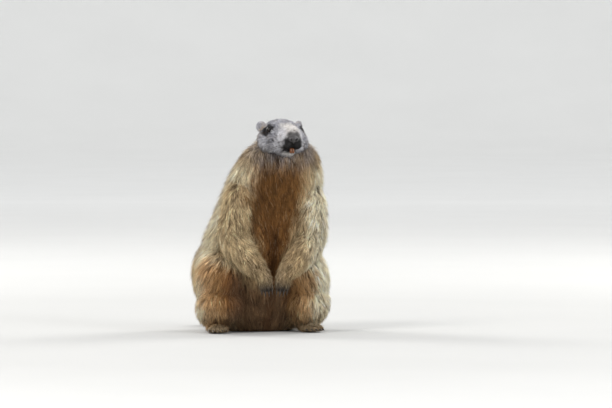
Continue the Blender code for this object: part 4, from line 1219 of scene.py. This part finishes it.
def make_nose():
    """The bare nose pad with its nostrils and the groove between them."""
    at = Vector(NOSE_AT)
    lobes = [ball("pad", at, (0.0088, 0.0052, 0.0060), HEAD_FRAME)]
    holes = []
    for s in (1, -1):
        wing, nostril = Vector((s * 0.0056, -0.0018, -0.0008)), Vector((s * 0.0049, -0.0052, -0.0012))
        lobes.append(ball("wing", at + wing, (0.0034, 0.0035, 0.0042), HEAD_FRAME))
        holes.append(ball("nostril", at + nostril, (0.0014, 0.0034, 0.0027), HEAD_FRAME,
                          turn=turned(("Y", s * 35), ("Z", s * 18))))
    lobes.append(ball("stem", at + Vector((0, -0.0002, -0.0046)), (0.0019, 0.0032, 0.0040), HEAD_FRAME))
    holes.append(ball("groove", at + Vector((0, -0.0056, -0.0030)), (0.0004, 0.0012, 0.0060), HEAD_FRAME))
    nose = merge("nose_pad", lobes)
    melt(nose, 0.0004, 4)
    combine(nose, holes, "DIFFERENCE")
    nose.data.transform(Matrix.Translation(SHIFT))
    nose.data.shade_smooth()
    return nose


def make_eye(side, s):
    """An eyeball, and the middle of its pupil."""
    eye = ball(f"eyeball_{side}", mirrored(EYE_AT, s), (EYE_RADIUS,) * 3, HEAD_PLACE, detail=(48, 32))
    return eye, SHIFT + (eye_frame(s) @ Vector((0, 0, EYE_RADIUS)))


def make_incisor(side, s):
    """An upper incisor, curved back to its edge, of which only the tip shows."""
    rows = [
        (s * 0.0022, -0.0345, -0.0240, 0.0018, 0.0014),
        (s * 0.0022, -0.0385, -0.0290, 0.0019, 0.0014),
        (s * 0.0022, -0.0402, -0.0335, 0.0019, 0.0012),
        (s * 0.0021, -0.0400, -0.0372, 0.0018, 0.0007),
    ]
    return loft(f"tooth_{side}", rows, 28, 24, (0.0008, 0.0005), power=3.0, matrix=HEAD_PLACE)


def make_whiskers():
    """Whiskers from the pads beside the nose and a few over each eye."""
    draw = random.Random(3)
    hairs = []
    for s in (1, -1):
        for row in range(4):
            for k in range(4):
                root = Vector((s * (0.0150 + 0.0010 * k), -0.0400 + 0.0042 * k, -0.0165 - 0.0030 * row))
                way = Vector((s * draw.uniform(0.8, 1.0), draw.uniform(0.1, 0.6), draw.uniform(-0.45, 0.05)))
                hairs.append((root, way, draw.uniform(0.022, 0.040)))
        for k in range(3):
            root = Vector((s * (0.0235 + 0.002 * k), -0.004 + 0.003 * k, 0.0110))
            hairs.append((root, Vector((s * 0.5, 0.2 + 0.3 * k, 0.8)), draw.uniform(0.010, 0.015)))
    droop, buried, shares = Vector((0, 0.25, -0.45)), 0.003, np.linspace(0, 1, 8)
    thickness = [0.00022 * (1 - 0.9 * t) for t in shares]
    pieces = []
    for root, way, length in hairs:
        way.normalize()
        places = [root - way * buried + (way * t + droop * t * t * 0.35) * (length + buried) for t in shares]
        pieces.append(ring("whisker", places, thickness, HEAD_PLACE, sides=4, closed=False))
    return merge("whiskers", pieces)


class Socket:
    """A value in a shader, so that arithmetic on it adds Math nodes."""

    def __init__(self, shader, socket):
        self.shader, self.socket = shader, socket

    def math(self, operation, first, second):
        return self.shader.node("ShaderNodeMath", {"operation": operation}, {0: first, 1: second})["Value"]

    def __add__(self, other):
        return self.math("ADD", self, other)

    def __mul__(self, other):
        return self.math("MULTIPLY", self, other)

    __radd__, __rmul__ = __add__, __mul__


class Finish:
    """A material round one Principled shader, whose fixed values are set on its own sockets."""

    def __init__(self, name, **fixed):
        self.material = bpy.data.materials.new(name)
        self.material.use_nodes = True
        self.tree = self.material.node_tree
        self.principled = self.tree.nodes["Principled BSDF"]
        for socket, value in fixed.items():
            self.principled.inputs[socket.replace("_", " ")].default_value = value

    def node(self, kind, settings, inputs):
        """Adds a node and returns its outputs by name, ready for arithmetic."""
        made = self.tree.nodes.new(kind)
        for setting, value in settings.items():
            if setting == "stops":
                ramp = made.color_ramp
                for k, (place, colour) in enumerate(value):
                    stop = ramp.elements[k] if k < 2 else ramp.elements.new(place)
                    stop.position, stop.color = place, (*colour, 1)
            else:
                setattr(made, setting, value)
        for socket, value in inputs.items():
            if isinstance(value, Socket):
                self.tree.links.new(value.socket, made.inputs[socket])
            else:
                made.inputs[socket].default_value = value
        return {output.name: Socket(self, output) for output in made.outputs if output.enabled}

    def drive(self, socket, value):
        self.tree.links.new(value.socket, self.principled.inputs[socket])

    def place(self):
        return self.node("ShaderNodeTexCoord", {}, {})["Object"]

    def shade(self):
        """The colour that the mesh carries."""
        return self.node("ShaderNodeAttribute", {"attribute_name": "shade"}, {})["Color"]

    def away(self, point=(0, 0, 0)):
        inputs = {0: self.place(), 1: point}
        return self.node("ShaderNodeVectorMath", {"operation": "DISTANCE"}, inputs)["Value"]

    def grain(self, scale, detail=2.0):
        """Noise from 0 to 1 over the piece, as many times a metre as the scale says."""
        inputs = {"Vector": self.place(), "Scale": scale, "Detail": detail}
        return self.node("ShaderNodeTexNoise", {}, inputs)["Fac"]

    def ramp(self, value, stops):
        return self.node("ShaderNodeValToRGB", {"stops": stops}, {"Fac": value})["Color"]

    def times(self, colour, value):
        """The colour made lighter or darker by a value."""
        inputs = {"Vector": colour, "Scale": value}
        return self.node("ShaderNodeVectorMath", {"operation": "SCALE"}, inputs)["Vector"]

    def bump(self, height, strength, distance):
        inputs = {"Height": height, "Strength": strength, "Distance": distance}
        return self.node("ShaderNodeBump", {}, inputs)["Normal"]


def coat_finish():
    """Fur that takes its colour from the strands, a little uneven along each."""
    fur = Finish("fur", Specular_IOR_Level=0.08)
    fur.drive("Base Color", fur.times(fur.shade(), 0.80 + 0.40 * fur.grain(700.0)))
    fur.drive("Roughness", 0.56 + 0.20 * fur.grain(300.0))
    return fur.material


def skin_finish():
    """Short flat fur and bare skin between the strands, in the same markings."""
    skin = Finish("skin", Specular_IOR_Level=0.12)
    grain = skin.grain(1800.0, 3.0)
    skin.drive("Base Color", skin.times(skin.shade(), 0.70 + 0.60 * grain))
    skin.drive("Roughness", 0.55 + 0.2 * grain)
    skin.drive("Normal", skin.bump(grain + skin.grain(500.0), 0.35, 0.0005))
    return skin.material


def horn_finish():
    """Dark brown claws with paler streaks."""
    horn = Finish("claw_horn", Coat_Weight=0.15, Coat_Roughness=0.3)
    streaks = horn.grain(900.0, 4.0)
    horn.drive("Base Color", horn.ramp(streaks, [(0.30, (0.018, 0.013, 0.010)), (0.62, (0.050, 0.036, 0.026)),
                                                  (0.80, (0.12, 0.090, 0.060))]))
    horn.drive("Roughness", 0.28 + 0.25 * horn.grain(2500.0))
    horn.drive("Normal", horn.bump(streaks, 0.25, 0.0002))
    return horn.material


def nose_finish():
    """Moist dark skin with a fine pebbled grain."""
    pad = Finish("nose_leather", Coat_Weight=0.12, Coat_Roughness=0.25)
    cells = pad.node("ShaderNodeTexVoronoi", {}, {"Vector": pad.place(), "Scale": 1700.0})["Distance"]
    tone = pad.grain(250.0)
    pad.drive("Base Color", pad.ramp(tone, [(0.30, (0.016, 0.015, 0.016)), (0.70, (0.050, 0.046, 0.047))]))
    pad.drive("Roughness", 0.30 + 0.25 * cells)
    pad.drive("Normal", pad.bump(cells, 0.30, 0.0002))
    return pad.material


def eye_finish(side, pupil):
    """A dark brown eye under a wet surface, its rings set round the middle of the pupil."""
    eye = Finish(f"eye_{side}_wet", Roughness=0.20, Specular_IOR_Level=0.12, Coat_Weight=0.10,
                 Coat_Roughness=0.04)
    rings = eye.away(tuple(pupil)) * 100.0 + 0.05 * eye.grain(1500.0, 4.0)
    eye.drive("Base Color", eye.ramp(rings, [(0.27, (0.002, 0.002, 0.002)), (0.34, (0.013, 0.007, 0.004)),
                                              (0.50, (0.008, 0.005, 0.003)), (0.60, (0.003, 0.002, 0.002))]))
    return eye.material


def tooth_finish():
    """Orange enamel, a little uneven."""
    tooth = Finish("tooth_enamel", Specular_IOR_Level=0.3, Coat_Weight=0.1, Coat_Roughness=0.2)
    lines = tooth.grain(400.0, 3.0)
    tooth.drive("Base Color", tooth.ramp(lines, [(0.3, (0.10, 0.031, 0.009)), (0.7, (0.18, 0.062, 0.018))]))
    tooth.drive("Roughness", 0.22 + 0.12 * tooth.grain(1500.0))
    return tooth.material


def whisker_finish():
    """Stiff dark hair."""
    hair = Finish("whisker_hair", Specular_IOR_Level=0.5)
    stops = [(0.35, (0.015, 0.012, 0.010)), (0.70, (0.08, 0.07, 0.06))]
    hair.drive("Base Color", hair.ramp(hair.grain(150.0), stops))
    hair.drive("Roughness", 0.30 + 0.15 * hair.grain(900.0))
    return hair.material


def floor_finish():
    """A matt floor that grows paler with distance."""
    floor = Finish("studio_floor", Roughness=0.85)
    tone = floor.ramp(floor.away() * 0.1, [(0.10, (0.42, 0.42, 0.415)), (0.65, (0.86, 0.86, 0.85))])
    floor.drive("Base Color", floor.times(tone, 0.97 + 0.06 * floor.grain(3.0, 3.0)))
    return floor.material


def make_floor():
    """A pale floor that sweeps up all round."""
    flat, sweep, wall, sides, drop = 12.0, 3.0, 8.0, 64, 0.0002
    curve = [(flat + sweep * math.sin(t), sweep - sweep * math.cos(t)) for t in np.linspace(0.13, 1.57, 12)]
    bm = bmesh.new()
    middle = bm.verts.new((0, 0, -drop))
    angles = np.linspace(0, 2 * math.pi, sides + 1)[:-1]
    rings = [[bm.verts.new((r * math.cos(a), r * math.sin(a), z - drop)) for a in angles]
             for r, z in [(flat, 0.0), *curve, (flat + sweep, wall)]]
    for k in range(sides):
        n = (k + 1) % sides
        bm.faces.new((middle, rings[0][k], rings[0][n]))
        for a, b in zip(rings, rings[1:]):
            bm.faces.new((a[k], a[n], b[n], b[k]))
    floor = mesh_object("studio_floor", bm)
    floor.data.materials.append(floor_finish())
    floor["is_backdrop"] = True


def make_studio():
    """The floor, soft lights, and the camera at the photograph's angle."""
    make_floor()
    turn = turned(("Z", VIEW_TURN))
    aim = Vector((0.0, 0.0, 0.20))
    for name, place, size, power, colour in (
            ("key", (-2.2, -2.8, 3.0), 1.8, 125, (1.0, 0.98, 0.95)),
            ("fill", (2.8, -2.4, 1.6), 1.8, 60, (0.98, 0.99, 1.0)),
            ("rim_left", (-2.6, 1.8, 2.2), 1.6, 90, (1.0, 0.99, 0.96)),
            ("rim_right", (2.6, 1.8, 2.2), 1.6, 90, (1.0, 0.99, 0.96))):
        light = bpy.data.lights.new(name, "AREA")
        light.shape, light.size, light.energy, light.color = "DISK", size, power, colour
        lamp = add_object(name, light)
        lamp.location = turn @ Vector(place)
        lamp.rotation_euler = (lamp.location - aim).to_track_quat("Z", "Y").to_euler()
    world = bpy.data.worlds.new("studio")
    world.use_nodes = True
    sky = world.node_tree.nodes["Background"].inputs
    sky["Color"].default_value, sky["Strength"].default_value = (0.95, 0.96, 0.97, 1), 0.95
    scene = bpy.context.scene
    scene.world = world
    scene.view_settings.view_transform = "Standard"
    lens = bpy.data.cameras.new("camera")
    lens.sensor_width, lens.lens, lens.clip_end = SENSOR, SENSOR * VIEW_DISTANCE / VIEW_WIDTH, 60.0
    scene.camera = add_object("camera", lens)
    a, e = math.radians(VIEW_TURN), math.radians(VIEW_RAISE)
    across, height = VIEW_CENTRE
    middle = Vector((math.cos(a), math.sin(a), 0)) * across + Vector((0, 0, height))
    away = Vector((math.sin(a) * math.cos(e), -math.cos(a) * math.cos(e), math.sin(e)))
    scene.camera.location = middle + away * VIEW_DISTANCE
    scene.camera.rotation_euler = away.to_track_quat("Z", "Y").to_euler()


def settle(piece, finish, slot, *nodes):
    """Gives a piece its finish, sets it on the model's body, and hides the solids that it stands for."""
    piece.data.materials.clear()
    piece.data.materials.append(finish)
    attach(piece, "root")
    if nodes:
        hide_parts(*nodes)


def main():
    for old in list(bpy.data.objects):
        bpy.data.objects.remove(old)
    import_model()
    low, high = (np.array(corner, float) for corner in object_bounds())
    make_studio()
    skin, claws = make_skin()
    coat = make_coat(skin, low, high)
    flesh = ["head", "lower_jaw", "neck", "torso", "tail"] + [
        f"{part}_{side}" for part in ("ear", "upper_arm", "forearm", "hand", "thigh", "lower_leg", "foot")
        for side in SIDES]
    settle(skin, skin_finish(), "coat_cream", *flesh)
    fur = coat_finish()
    for region, piece in coat:
        settle(piece, fur, SLOTS.get(region, "coat_cream"))
    horn = horn_finish()
    for limb, piece in claws.items():
        digits = 4 if limb.startswith("hand") else 5
        settle(piece, horn, "horn", *[f"claw_{limb}_{k + 1}" for k in range(digits)])
    settle(make_nose(), nose_finish(), "nose_skin", "nose")
    enamel = tooth_finish()
    for side, s in SIDES.items():
        eye, pupil = make_eye(side, s)
        settle(eye, eye_finish(side, pupil), "eye", f"eye_{side}")
        settle(make_incisor(side, s), enamel, "enamel", f"incisor_{side}")
    settle(make_whiskers(), whisker_finish(), "coat_slate")
    bpy.context.view_layer.update()


main()
